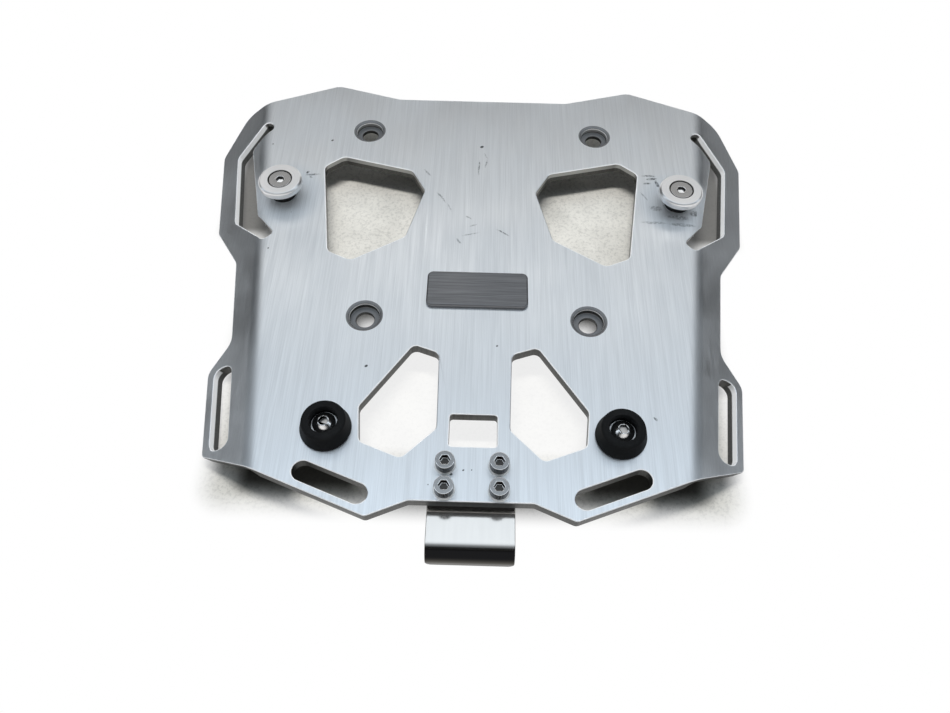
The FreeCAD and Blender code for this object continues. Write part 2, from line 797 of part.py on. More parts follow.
def under_nut(stem):
    x, y = PLACES[stem]

    def make(side, sign):
        return lock_nut("%s_%s_nut" % (side, stem), "large", sign + x, y, "0 - large_washer_thickness")
    return make


def under_washer(stem):
    x, y = PLACES[stem]

    def make(side, sign):
        return large_washer("%s_%s_under_washer" % (side, stem), sign + x, y,
                            "0 - large_washer_thickness")
    return make


def recess_washer(side, sign):
    return large_washer(side + "_bumper_recess_washer", sign + "bumper_x", BUMPER_Y,
                        TOP + " + bumper_floor")


def all_nodes():
    nodes = [rack_plate(), badge_plate(), latch_hook(), hook_spacer()]
    nodes += hook_fasteners()
    nodes += side_pieces(puck) + side_pieces(puck_bush)
    nodes += side_pieces(bumper)
    nodes += [
        group("puck_screws", side_pieces(puck_screw)),
        group("puck_washers", side_pieces(under_washer("puck"))),
        group("puck_lock_nuts", side_pieces(under_nut("puck"))),
        group("bumper_screws", side_pieces(bumper_screw)),
        group("bumper_washers", side_pieces(recess_washer)),
        group("bumper_under_washers", side_pieces(under_washer("bumper"))),
        group("bumper_lock_nuts", side_pieces(under_nut("bumper"))),
    ]
    return nodes


def check_and_write(nodes):
    doc.recompute()
    for thing in doc.Objects:
        if "Invalid" in thing.State or "Error" in thing.State:
            raise RuntimeError("%s did not compute: %s" % (thing.Name, thing.State))
    for node in nodes:
        if node.Shape.isNull() or not node.Shape.isValid():
            raise RuntimeError("%s has no valid shape" % node.Label)
    os.makedirs("parts", exist_ok=True)
    for node in nodes:
        node.Shape.exportStep("parts/%s.step" % node.Label)
        box = node.Shape.BoundBox
        print("%-22s solids %d  volume %9.1f  z %.2f to %.2f" % (
            node.Label, len(node.Shape.Solids), node.Shape.Volume, box.ZMin, box.ZMax))


check_and_write(all_nodes())
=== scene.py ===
"""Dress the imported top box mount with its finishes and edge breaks, and set it on a pale studio floor."""

import math

import bmesh
import bpy
from bpy.props import FloatProperty, FloatVectorProperty, PointerProperty
from mathutils import Matrix, Vector


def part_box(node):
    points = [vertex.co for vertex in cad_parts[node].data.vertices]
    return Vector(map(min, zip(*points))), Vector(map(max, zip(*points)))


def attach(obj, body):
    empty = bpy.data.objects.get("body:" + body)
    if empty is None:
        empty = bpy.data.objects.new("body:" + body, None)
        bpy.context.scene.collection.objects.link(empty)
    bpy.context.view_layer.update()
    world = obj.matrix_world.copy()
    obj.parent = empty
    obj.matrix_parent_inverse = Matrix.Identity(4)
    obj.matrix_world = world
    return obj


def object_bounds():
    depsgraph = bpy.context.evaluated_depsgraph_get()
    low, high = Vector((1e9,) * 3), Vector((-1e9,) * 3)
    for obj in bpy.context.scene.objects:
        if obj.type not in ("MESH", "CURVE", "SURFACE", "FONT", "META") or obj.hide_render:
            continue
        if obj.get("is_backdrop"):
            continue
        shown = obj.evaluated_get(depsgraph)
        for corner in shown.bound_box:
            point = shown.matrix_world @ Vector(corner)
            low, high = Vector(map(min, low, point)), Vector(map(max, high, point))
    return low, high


bl_info = {
    "name": "Top box mount",
    "version": (1, 0, 0),
    "blender": (4, 5, 0),
    "location": "3D View > Sidebar > Mount",
    "description": "Finishes, small fittings and studio for a folded top box carrier plate",
    "category": "Object",
}

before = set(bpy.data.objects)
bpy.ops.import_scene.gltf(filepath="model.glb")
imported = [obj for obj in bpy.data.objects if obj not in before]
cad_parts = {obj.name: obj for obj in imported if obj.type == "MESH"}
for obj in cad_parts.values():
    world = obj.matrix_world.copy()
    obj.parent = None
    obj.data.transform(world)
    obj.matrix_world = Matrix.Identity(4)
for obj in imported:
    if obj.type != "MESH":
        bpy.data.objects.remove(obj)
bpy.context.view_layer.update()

MM = 0.001


def middle_of(node):
    low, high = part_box(node)
    return (low + high) / 2


PUCK = middle_of("right_puck")
BUMPER = middle_of("right_bumper")
PLATE_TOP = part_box("rack_plate")[1].z
# Cut walls ahead of this y have a lighter upper part, a painted reflection of the lit floor
FRONT_WINDOWS = -0.05
HOOK_HEAD = 4.25 * MM


def screw_places():
    """Axes of the screws: four at the hook, two at the pucks and two at the bumpers."""
    low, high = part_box("hook_screws")
    reach = high.x - HOOK_HEAD
    rows = (low.y + HOOK_HEAD, high.y - HOOK_HEAD)
    return {
        "hook": [(side * reach, row) for side in (-1, 1) for row in rows],
        "puck": [(side * PUCK.x, PUCK.y) for side in (-1, 1)],
        "bumper": [(side * BUMPER.x, BUMPER.y) for side in (-1, 1)],
    }


SCREW_PLACES = screw_places()
# Rack bolt holes on the right: x and y
RACK_HOLES = {"front": (0.065, 0.065), "rear": (0.055, -0.065)}


# Sizes and colours that a user may change


def colour(name, text, default):
    return FloatVectorProperty(name=name, description=text, subtype="COLOR", size=3, min=0.0, max=1.0,
                               default=default)


def length(name, text, default):
    return FloatProperty(name=name, description=text, default=default, min=0.0, precision=5, unit="LENGTH",
                         subtype="DISTANCE")


def angle(name, text, degrees):
    return FloatProperty(name=name, description=text, default=math.radians(degrees), subtype="ANGLE")


def share(name, text, default):
    return FloatProperty(name=name, description=text, default=default, min=0.0, max=1.0, subtype="FACTOR")


class MountPlate(bpy.types.PropertyGroup):
    face: colour("Face", "Brushed face of the folded sheet", (0.81, 0.84, 0.865))
    # Dark colour of the cut walls: partly their own dull tone, partly painted shade on their lower part
    wall: colour("Cut wall", "Rough lower part of the cut walls", (0.10, 0.10, 0.096))
    # Painted reflection: lighter colour of the upper part of the front cut walls
    shear: colour("Sheared wall", "Smooth upper part of the front cut walls", (0.40, 0.40, 0.395))
    # Painted highlight: bright matt colour of the upper part of the outer walls of the ear slots
    painted_lip_highlight: colour("Lip", "Bright upper part of the outer walls of the ear slots", (0.95, 0.95, 0.95))
    # Painted highlight: bright matt colour on the broken edges of the sheet
    painted_edge_highlight: colour("Edge", "Burnished broken edges of the sheet", (0.86, 0.87, 0.88))
    # How deep the painted reflection and the painted highlight reach on the upper part of the cut walls
    painted_upper_depth: length("Shear depth", "How far the smooth part of a cut wall goes down", 2.6 * MM)
    fold_x: length("Fold place", "How far out the fold is at the rack bolts' centre", 116.6 * MM)
    fold_taper: angle("Fold taper", "How far the fold line turns from straight ahead", 7.5)
    fold_angle: angle("Fold angle", "How far the ears are folded down", 30.0)
    stain: colour("Stain", "Dark rub marks and pits on the plate", (0.10, 0.105, 0.11))
    bore: colour("Bore", "Dull machined faces round the rack bolt holes", (0.27, 0.272, 0.276))
    bore_reach: length("Bore reach", "Radius of the machined faces round the rack bolt holes", 9.1 * MM)
    edge: length("Edge break", "Width of the broken edges of the sheet", 0.45 * MM)
    gloss: share("Roughness", "Roughness of the brushed face", 0.34)


class MountBadge(bpy.types.PropertyGroup):
    face: colour("Face", "Dark brushed face of the badge", (0.20, 0.202, 0.208))
    edge: length("Edge break", "Width of the broken edges of the badge", 0.25 * MM)


class MountPuck(bpy.types.PropertyGroup):
    face: colour("Face", "Turned metal of the pucks", (0.93, 0.93, 0.93))
    bush: colour("Bush", "Black neck under the pucks", (0.014, 0.014, 0.015))
    # Painted shade: a dark ring in the gap round the countersunk screw
    sink: length("Countersink", "Radius of the dark gap round the countersunk screw", 6.1 * MM)
    edge: length("Edge break", "Width of the broken edges of the pucks", 0.2 * MM)


class MountBumper(bpy.types.PropertyGroup):
    rubber: colour("Rubber", "Black rubber of the bumpers", (0.006, 0.0065, 0.007))
    edge: length("Edge break", "Width of the rounded edges of the bumpers", 0.35 * MM)


class MountHook(bpy.types.PropertyGroup):
    strip: colour("Strip", "Polished steel of the latch hook", (0.75, 0.71, 0.665))
    # Painted reflection: near-black colour on the outer side of the bend, standing in for the dark room it
    # mirrors
    bend: colour("Bend", "Dark steel on the outer side of the hook's bend", (0.012, 0.012, 0.013))
    # Painted reflection: dark brownish colour on the turned-down end, standing in for the shaded floor it
    # mirrors
    tail: colour("Tail", "Duller steel on the turned-down end of the hook", (0.060, 0.055, 0.046))
    packing: colour("Packing", "Dark spacer between hook and plate", (0.022, 0.022, 0.022))
    edge: length("Edge break", "Width of the broken edges of the hook", 0.3 * MM)


class MountFastener(bpy.types.PropertyGroup):
    screw: colour("Screw", "Stainless steel of the screws", (0.90, 0.89, 0.88))
    # Painted shade: the hook and puck crowns are darker than the steel of the rest of the head
    hook_crown: colour("Hook crown", "Flat tops of the hook screws", (0.34, 0.34, 0.34))
    puck_crown: colour("Puck crown", "Flat tops of the puck screws", (0.36, 0.36, 0.36))
    bumper_crown: colour("Bumper crown", "Flat tops of the bumper screws", (0.92, 0.92, 0.91))
    # Socket floors are matt and painted: shade in the hook sockets, a highlight in the puck and bumper
    # sockets
    hook_socket: colour("Hook socket", "Floor of the sockets of the hook screws", (0.02, 0.019, 0.017))
    puck_socket: colour("Puck socket", "Floor of the sockets of the puck screws", (0.95, 0.95, 0.95))
    bumper_socket: colour("Bumper socket", "Floor of the sockets of the bumper screws", (0.45, 0.45, 0.45))
    # Painted shade: near-black colour of the steep sides of the screw heads above the plate
    painted_knurl_shade: colour("Knurl", "Dark knurled sides of the screw heads", (0.014, 0.014, 0.014))
    washer: colour("Washer", "Stainless steel of the washers", (0.92, 0.92, 0.91))
    nut: colour("Nut", "Plated steel of the lock nuts", (0.55, 0.55, 0.53))
    pitch: length("Thread pitch", "Pitch of the threads that show below the nuts", 0.8 * MM)
    head_edge: length("Head edge", "Width of the broken edges of the hook and puck screws", 0.3 * MM)
    button_edge: length("Button edge", "Width of the broken edges of the bumper screws", 0.05 * MM)
    edge: length("Edge break", "Width of the broken edges of the washers and nuts", 0.12 * MM)


class MountInsert(bpy.types.PropertyGroup):
    tint: colour("Tint", "Black locking rings in the nuts", (0.012, 0.012, 0.013))
    small_bore: length("Small bore", "Inner radius of the rings of the hook nuts", 2.5 * MM)
    small_width: length("Small width", "Width of the rings of the hook nuts", 0.7 * MM)
    large_bore: length("Large bore", "Inner radius of the rings of the puck and bumper nuts", 3.0 * MM)
    large_width: length("Large width", "Width of the rings of the puck and bumper nuts", 1.0 * MM)
    proud: length("Proud", "How far the rings stand below the nuts", 0.35 * MM)
    sunk: length("Sunk", "How far the rings go into the nuts", 0.1 * MM)


class MountStage(bpy.types.PropertyGroup):
    floor: colour("Floor", "Pale studio floor", (0.82, 0.795, 0.735))
    sky: colour("Sky", "Tint of the soft light overhead", (0.81, 0.905, 1.0))
    front: colour("Front", "Tint of the soft light from the front", (1.0, 0.99, 0.975))
    lamp: colour("Lamp", "Light of the key lamp", (1.0, 0.99, 0.97))
    lens: FloatProperty(name="Lens", description="Focal length of the camera in millimetres", default=28.87,
                        min=1.0, subtype="DISTANCE_CAMERA")
    sky_strength: FloatProperty(name="Sky strength", description="Strength of the soft light", default=1.375,
                                min=0.0)
    lamp_power: FloatProperty(name="Lamp power", description="Power of the key lamp", default=1.8, min=0.0,
                              unit="POWER")


# Node helpers


def add_node(tree, kind, inputs=None, **settings):
    """Add a node, set its properties, and link or set its inputs by name or number."""
    node = tree.nodes.new(kind)
    for name, value in settings.items():
        setattr(node, name, value)
    for key, value in (inputs or {}).items():
        feed(tree, node.inputs[key], value)
    return node


def feed(tree, socket, value):
    if isinstance(value, bpy.types.NodeSocket):
        tree.links.new(value, socket)
    elif socket.type == "RGBA":
        socket.default_value = (*tuple(value)[:3], 1.0)
    else:
        socket.default_value = value


def calc(tree, operation, first, second=0.0):
    return add_node(tree, "ShaderNodeMath", {0: first, 1: second}, operation=operation).outputs[0]


def vector_calc(tree, operation, first, second):
    return add_node(tree, "ShaderNodeVectorMath", {0: first, 1: second}, operation=operation).outputs[0]


def spread(tree, value, low, high, to_low=0.0, to_high=1.0):
    """Map a value between two limits to two others, clamped and eased."""
    inputs = {"Value": value, "From Min": low, "From Max": high, "To Min": to_low, "To Max": to_high}
    node = add_node(tree, "ShaderNodeMapRange", inputs, interpolation_type="SMOOTHSTEP")
    return node.outputs["Result"]


def noise(tree, vector, scale, detail, roughness):
    inputs = {"Vector": vector, "Scale": scale, "Detail": detail, "Roughness": roughness}
    return add_node(tree, "ShaderNodeTexNoise", inputs).outputs["Fac"]


def blend(tree, factor, first, second, mode="MIX"):
    node = add_node(tree, "ShaderNodeMix", data_type="RGBA", blend_type=mode, clamp_factor=True)
    feed(tree, node.inputs[0], factor)
    feed(tree, node.inputs[6], first)
    feed(tree, node.inputs[7], second)
    return node.outputs[2]


def parts_of(tree, vector):
    split = add_node(tree, "ShaderNodeSeparateXYZ", {0: vector})
    return split.outputs[0], split.outputs[1], split.outputs[2]


def join_parts(tree, x, y, z):
    return add_node(tree, "ShaderNodeCombineXYZ", {0: x, 1: y, 2: z}).outputs[0]


def inverse(tree, value):
    return calc(tree, "SUBTRACT", 1.0, value)


def sum_of_squares(tree, first, second):
    return calc(tree, "ADD", calc(tree, "MULTIPLY", first, first), calc(tree, "MULTIPLY", second, second))


def scaled(tint, factor):
    """A colour made darker or lighter, with each part at most 1."""
    return tuple(min(1.0, factor * part) for part in tint)


# Limits between which most of a noise's values lie
MIDTONES = (0.30, 0.70)
# Each noise here and below has its scale per metre, its detail and its roughness
FINE_GRAIN = (2600.0, 3.0, 0.65)
BROAD_GRAIN = (520.0, 3.0, 0.6)
TURNING_MARKS = (3600.0, 2.0, 0.6)
CLOUDS = (26.0, 4.0, 0.55)
# The two grains are drawn out along Y
FINE_STRETCH = (1.0, 0.012, 1.0)
BROAD_STRETCH = (1.0, 0.03, 1.0)
PIT_CELLS = 60.0
# Cells whose random value is above this hold a pit
PIT_CHOICE = 0.86
# A rub mark is full up to this share of its radius, squared
MARK_CORE = 0.2

FLOAT = "NodeSocketFloat"
VECTOR = "NodeSocketVector"


def fill_brushed_grain(tree, given, result):
    """Fine and broad streaks along Y, from noise drawn out along that axis."""
    fine = vector_calc(tree, "MULTIPLY", given["Vector"], FINE_STRETCH)
    broad = vector_calc(tree, "MULTIPLY", given["Vector"], BROAD_STRETCH)
    feed(tree, result["Fine"], noise(tree, fine, *FINE_GRAIN))
    feed(tree, result["Broad"], noise(tree, broad, *BROAD_GRAIN))


def fill_turned_rings(tree, given, result):
    """Fine rings round a vertical axis and its mirror image on the left."""
    x, y, z = parts_of(tree, given["Vector"])
    across = calc(tree, "SUBTRACT", calc(tree, "ABSOLUTE", x), given["Axis X"])
    along = calc(tree, "SUBTRACT", y, given["Axis Y"])
    radius = calc(tree, "SQRT", sum_of_squares(tree, across, along))
    feed(tree, result["Ring"], noise(tree, join_parts(tree, radius, z, 0.0), *TURNING_MARKS))
    feed(tree, result["Radius"], radius)


def fill_surface_wear(tree, given, result):
    """Soft cloudy tone and a few small pits."""
    feed(tree, result["Cloud"], noise(tree, given["Vector"], *CLOUDS))
    inputs = {"Vector": given["Vector"], "Scale": PIT_CELLS}
    cells = add_node(tree, "ShaderNodeTexVoronoi", inputs, feature="F1")
    near = calc(tree, "LESS_THAN", cells.outputs["Distance"], given["Pit Size"])
    pick = parts_of(tree, cells.outputs["Color"])[0]
    feed(tree, result["Pit"], calc(tree, "MULTIPLY", near, calc(tree, "GREATER_THAN", pick, PIT_CHOICE)))


def fill_rub_mark(tree, given, result):
    """Mask of one rub mark or pit: a soft oval of given length and width, turned about Z."""
    moved = vector_calc(tree, "SUBTRACT", given["Vector"], given["Middle"])
    turned = add_node(tree, "ShaderNodeVectorRotate", {"Vector": moved, "Angle": given["Turn"]},
                      rotation_type="Z_AXIS")
    x, y = parts_of(tree, turned.outputs[0])[:2]
    run = calc(tree, "DIVIDE", x, given["Half Length"])
    side = calc(tree, "DIVIDE", y, given["Half Width"])
    feed(tree, result["Mask"], spread(tree, sum_of_squares(tree, run, side), 1.0, MARK_CORE))


# What each shared node group takes and gives, and the function that fills it
GROUPS = {
    "brushed grain": (
        {"Vector": VECTOR},
        {"Fine": FLOAT, "Broad": FLOAT},
        fill_brushed_grain,
    ),
    "turned rings": (
        {"Vector": VECTOR, "Axis X": FLOAT, "Axis Y": FLOAT},
        {"Ring": FLOAT, "Radius": FLOAT},
        fill_turned_rings,
    ),
    "surface wear": (
        {"Vector": VECTOR, "Pit Size": FLOAT},
        {"Cloud": FLOAT, "Pit": FLOAT},
        fill_surface_wear,
    ),
    "rub mark": (
        {"Vector": VECTOR, "Middle": VECTOR, "Turn": FLOAT, "Half Length": FLOAT, "Half Width": FLOAT},
        {"Mask": FLOAT},
        fill_rub_mark,
    ),
}


def shared_group(name):
    """Give a shader node group by name; it is made on its first use."""
    if name not in bpy.data.node_groups:
        takes, gives, fill = GROUPS[name]
        tree = bpy.data.node_groups.new(name, "ShaderNodeTree")
        for sockets, way in ((takes, "INPUT"), (gives, "OUTPUT")):
            for socket_name, kind in sockets.items():
                tree.interface.new_socket(socket_name, in_out=way, socket_type=kind)
        fill(tree, tree.nodes.new("NodeGroupInput").outputs, tree.nodes.new("NodeGroupOutput").inputs)
    return bpy.data.node_groups[name]


def use_group(tree, name, inputs):
    """Add a shared group to a tree and give its outputs."""
    return add_node(tree, "ShaderNodeGroup", inputs, node_tree=shared_group(name)).outputs


def new_finish(name):
    """Start a material; gives it with its tree, its Principled shader and its object coordinates."""
    material = bpy.data.materials.new(name)
    material.use_nodes = True
    tree = material.node_tree
    shader = tree.nodes["Principled BSDF"]
    place = tree.nodes.new("ShaderNodeTexCoord").outputs["Object"]
    return material, tree, shader, place


def add_bump(tree, shader, height, depth, strength):
    inputs = {"Height": height, "Distance": depth, "Strength": strength}
    feed(tree, shader.inputs["Normal"], add_node(tree, "ShaderNodeBump", inputs).outputs[0])


def between(tree, value, low, high):
    """Mask of the values between two limits."""
    above = calc(tree, "GREATER_THAN", value, low)
    return calc(tree, "MULTIPLY", above, calc(tree, "LESS_THAN", value, high))


def facing(tree, low, high):
    """Mask of the faces whose normal rises by an amount between two limits."""
    normal = add_node(tree, "ShaderNodeNewGeometry").outputs["True Normal"]
    return between(tree, parts_of(tree, normal)[2], low, high)


WELD_REACH = 0.005 * MM
# Faces that meet at less than the first angle are joined, and edges sharper than the second are broken
FLAT_ANGLE = math.radians(0.4)
SHARP_ANGLE = math.radians(38)
EDGE_SEGMENTS = 2
# Above 50, large faces count for more than small ones in the shading
FACE_WEIGHT = 100


def break_edges(piece, width):
    """Join a node's triangles, clear its flats and give its sharp edges a narrow lit face."""
    weld = piece.modifiers.new("join triangles", "WELD")
    weld.merge_threshold = WELD_REACH
    flats = piece.modifiers.new("clear flats", "DECIMATE")
    flats.decimate_type = "DISSOLVE"
    flats.angle_limit = FLAT_ANGLE
    bevel = piece.modifiers.new("edge break", "BEVEL")
    bevel.limit_method = "ANGLE"
    bevel.angle_limit = SHARP_ANGLE
    bevel.width = width
    bevel.segments = EDGE_SEGMENTS
    bevel.use_clamp_overlap = False
    shade = piece.modifiers.new("even shading", "WEIGHTED_NORMAL")
    shade.weight = FACE_WEIGHT
    shade.keep_sharp = False


def shade_smooth(mesh):
    mesh.polygons.foreach_set("use_smooth", [True] * len(mesh.polygons))


def dress(node_name, material, edge):
    """Give a CAD node its material, smooth shading and broken edges."""
    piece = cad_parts[node_name]
    piece.data.materials.clear()
    piece.data.materials.append(material)
    shade_smooth(piece.data)
    break_edges(piece, edge)


# Finishes


# Rub marks on the plate: x, y, turn in degrees, half length and half width in millimetres, strength
RUB_MARKS = (
    (-93.2, 29.0, 6, 4.9, 0.8, 1.0),
    (-96.2, 30.7, 50, 1.5, 0.9, 1.0),
    (-93.9, 26.9, -24, 1.4, 0.7, 0.6),
    (93.6, 34.5, -1, 4.6, 0.8, 0.9),
    (94.8, 32.4, 8, 3.8, 1.0, 1.0),
    (92.2, 28.7, 7, 2.6, 0.9, 0.9),
    (97.7, 28.7, -75, 3.4, 1.1, 1.0),
    (89.6, 19.0, -60, 4.2, 0.5, 0.5),
    (95.3, 10.4, -15, 4.2, 2.2, 0.45),
    (116.3, 7.6, 9, 3.4, 2.4, 0.75),
    (106.0, 4.4, -7, 7.6, 2.0, 0.5),
    (93.3, 0.2, -2, 8.2, 1.1, 0.45),
    (108.3, -0.9, -3, 8.5, 1.3, 0.55),
    (-1.1, 37.6, 88, 6.7, 0.55, 0.75),
    (2.5, 47.0, -66, 2.8, 0.45, 0.5),
    (2.9, 41.1, 80, 4.0, 0.5, 0.6),
    (-29.7, 32.9, -51, 3.7, 0.65, 0.6),
    (-21.0, 14.5, -57, 5.4, 0.65, 0.6),
    (-16.3, 7.2, -65, 3.9, 0.5, 0.4),
    (-6.0, 0.6, -41, 2.6, 0.5, 0.55),
    (-3.3, -5.1, 28, 2.6, 0.55, 0.55),
    (-4.5, -11.2, 16, 5.7, 0.5, 0.6),
    (-10.6, -16.1, -55, 2.7, 0.8, 0.6),
    (12.6, -9.4, -32, 4.8, 0.55, 0.75),
    (82.4, -117.7, -47, 1.7, 0.6, 0.9),
)
# Small dark pits: x, y and half width in millimetres, with their turn and their length to width
PITS = (
    (0.2, 54.2, 1.0), (-85.7, 56.4, 0.7), (-119.2, 52.2, 0.4), (-109.1, -24.2, 0.45), (-51.2, -93.8, 0.75),
    (10.2, -80.7, 0.5), (-3.8, -145.2, 0.45), (-0.2, -145.0, 0.3), (-9.0, -147.3, 0.6),
)
PIT_TURN = 35
PIT_LENGTH = 1.4
# The rub marks' outlines wander by up to half of MARK_WANDER, and a finer noise breaks up their faces
WANDER_NOISE = {"Scale": 360.0, "Detail": 2.0}
MARK_WANDER = 1.3 * MM
BREAK_NOISE = (760.0, 3.0, 0.7)
BREAK_LIMITS = (0.30, 0.66)


def oval(tree, where, x, y, turn, run, side):
    """Mask of one mark, from its place, half length and half width in millimetres and turn in degrees."""
    inputs = {"Vector": where, "Middle": (x * MM, y * MM, 0.0), "Turn": math.radians(-turn),
              "Half Length": run * MM, "Half Width": side * MM}
    return use_group(tree, "rub mark", inputs)["Mask"]


def plate_marks(tree, place):
    """Mask of the rub marks, broken up by noise, with the solid pits among them."""
    flat = vector_calc(tree, "MULTIPLY", place, (1.0, 1.0, 0.0))
    wander = add_node(tree, "ShaderNodeTexNoise", {"Vector": flat, **WANDER_NOISE})
    offset = vector_calc(tree, "SUBTRACT", wander.outputs["Color"], (0.5, 0.5, 0.5))
    offset = vector_calc(tree, "MULTIPLY", offset, (MARK_WANDER, MARK_WANDER, 0.0))
    bent = vector_calc(tree, "ADD", flat, offset)
    rubs = 0.0
    for x, y, turn, run, side, strength in RUB_MARKS:
        mark = calc(tree, "MULTIPLY", oval(tree, bent, x, y, turn, run, side), strength)
        rubs = calc(tree, "MAXIMUM", rubs, mark)
    broken = spread(tree, noise(tree, flat, *BREAK_NOISE), *BREAK_LIMITS)
    marks = calc(tree, "MULTIPLY", rubs, broken)
    for x, y, side in PITS:
        marks = calc(tree, "MAXIMUM", marks, oval(tree, flat, x, y, PIT_TURN, PIT_LENGTH * side, side))
    return marks


def depth_in_sheet(tree, place, settings):
    """How far a point lies below the top of the sheet, which is flat in the middle and sloped on the ears."""
    x, y, z = parts_of(tree, place)
    below = calc(tree, "SUBTRACT", PLATE_TOP, z)
    fold = calc(tree, "ADD", calc(tree, "MULTIPLY", y, math.tan(settings.fold_taper)), settings.fold_x)
    beyond = calc(tree, "SUBTRACT", calc(tree, "ABSOLUTE", x), fold)
    fall = math.cos(settings.fold_taper) * math.sin(settings.fold_angle)
    upright = calc(tree, "MULTIPLY", below, math.cos(settings.fold_angle))
    ear_below = calc(tree, "SUBTRACT", upright, calc(tree, "MULTIPLY", beyond, fall))
    return calc(tree, "MINIMUM", below, ear_below)


# Rise of the normal on the broken edges, on the cut walls and on the leaning outer walls of the ear slots
EDGE_RISE = (0.58, 0.95)
WALL_RISE = (-0.62, 0.62)
OUTER_RISE = (0.20, 0.62)


def broken_edges(tree, place, settings):
    """Mask of the narrow faces between the top of the sheet and its cut walls."""
    x = parts_of(tree, place)[0]
    tilt_x, tilt_y, rise = parts_of(tree, add_node(tree, "ShaderNodeNewGeometry").outputs["True Normal"])
    outward = calc(tree, "MULTIPLY", tilt_x, calc(tree, "SIGN", x))
    across = calc(tree, "MULTIPLY", outward, math.sin(settings.fold_angle) * math.cos(settings.fold_taper))
    back = calc(tree, "MULTIPLY", tilt_y, -math.sin(settings.fold_angle) * math.sin(settings.fold_taper))
    up = calc(tree, "MULTIPLY", rise, math.cos(settings.fold_angle))
    on_ear = calc(tree, "ADD", calc(tree, "ADD", across, back), up)
    return between(tree, calc(tree, "MAXIMUM", rise, on_ear), *EDGE_RISE)


SAW_MARKS = (1700.0, 2.0, 0.6)
SAW_STRETCH = (1.0, 1.0, 0.06)
SAW_DARK = 0.72
# Over these lengths the painted reflection on the upper part of a cut wall gives way to its darker lower
# part, and the front windows give way to the rear
PAINTED_REFLECTION_SOFT = 0.5 * MM
WINDOW_SOFT = 5 * MM


def cut_walls(tree, place, settings):
    """Mask, colour and saw marks of the cut walls, with painted reflection and painted highlight on their
    upper parts and partly painted shade on their lower parts, and the mask of those that lean outward.
    """
    saw = noise(tree, vector_calc(tree, "MULTIPLY", place, SAW_STRETCH), *SAW_MARKS)
    # Lower part of the walls: their own dull tone and painted shade, darker along the saw marks
    rough = blend(tree, spread(tree, saw, *MIDTONES), scaled(settings.wall, SAW_DARK), settings.wall)
    depth = depth_in_sheet(tree, place, settings)
    # Upper part of the wall, which takes the painted reflection and the painted highlight
    smooth = spread(tree, depth, settings.painted_upper_depth + PAINTED_REFLECTION_SOFT, settings.painted_upper_depth)
    ahead = spread(tree, parts_of(tree, place)[1], FRONT_WINDOWS, FRONT_WINDOWS + WINDOW_SOFT)
    wall = blend(tree, calc(tree, "MULTIPLY", smooth, ahead), rough, settings.shear)
    # Outer walls of the ear slots: painted highlight on their upper part, over the dark wall colour
    outer = facing(tree, *OUTER_RISE)
    wall = blend(tree, calc(tree, "MULTIPLY", outer, smooth), wall, settings.painted_lip_highlight)
    return facing(tree, *WALL_RISE), wall, saw, outer


def rack_bores(tree, place, reach):
    """Mask of the machined faces round the four rack bolt holes."""
    bored = 0.0
    for x, y in RACK_HOLES.values():
        rings = use_group(tree, "turned rings", {"Vector": place, "Axis X": x, "Axis Y": y})
        bored = calc(tree, "MAXIMUM", bored, calc(tree, "LESS_THAN", rings["Radius"], reach))
    return bored


def rings_round_puck(tree, place):
    return use_group(tree, "turned rings", {"Vector": place, "Axis X": PUCK.x, "Axis Y": PUCK.y})


# Size of the pits, as a share of their cells
SMALL_PIT = 0.02
LARGE_PIT = 0.03
# Tone of the plate: shares of its two grains, its darkest and lightest streaks, and how dark its pits are
FINE_SHARE = 0.6
BROAD_SHARE = 0.4
STREAKS = (0.90, 1.05)
PLATE_PIT = 0.7
# Marks lie on the top of the sheet, within this depth
MARK_DEPTH = 0.5 * MM
# Roughness of the plate: how it varies with grain and clouds, and what is added on marks and machined
# faces, round the pucks, on the outer walls of the ear slots and on all cut walls
GRAIN_LIMITS = (0.25, 0.75)
GRAIN_ROUGH = 0.05
CLOUD_LIMITS = (0.35, 0.7)
CLOUD_ROUGH = (-0.02, 0.05)
MARK_ROUGH = 0.2
PUCK_ROUGH = 0.28
PUCK_ROUGH_REACH = (26 * MM, 13 * MM)
OUTER_ROUGH = 0.25
WALL_ROUGH = 0.08
# Each bump here and below has its depth and its strength
PLATE_BUMP = (0.025 * MM, 1.0)


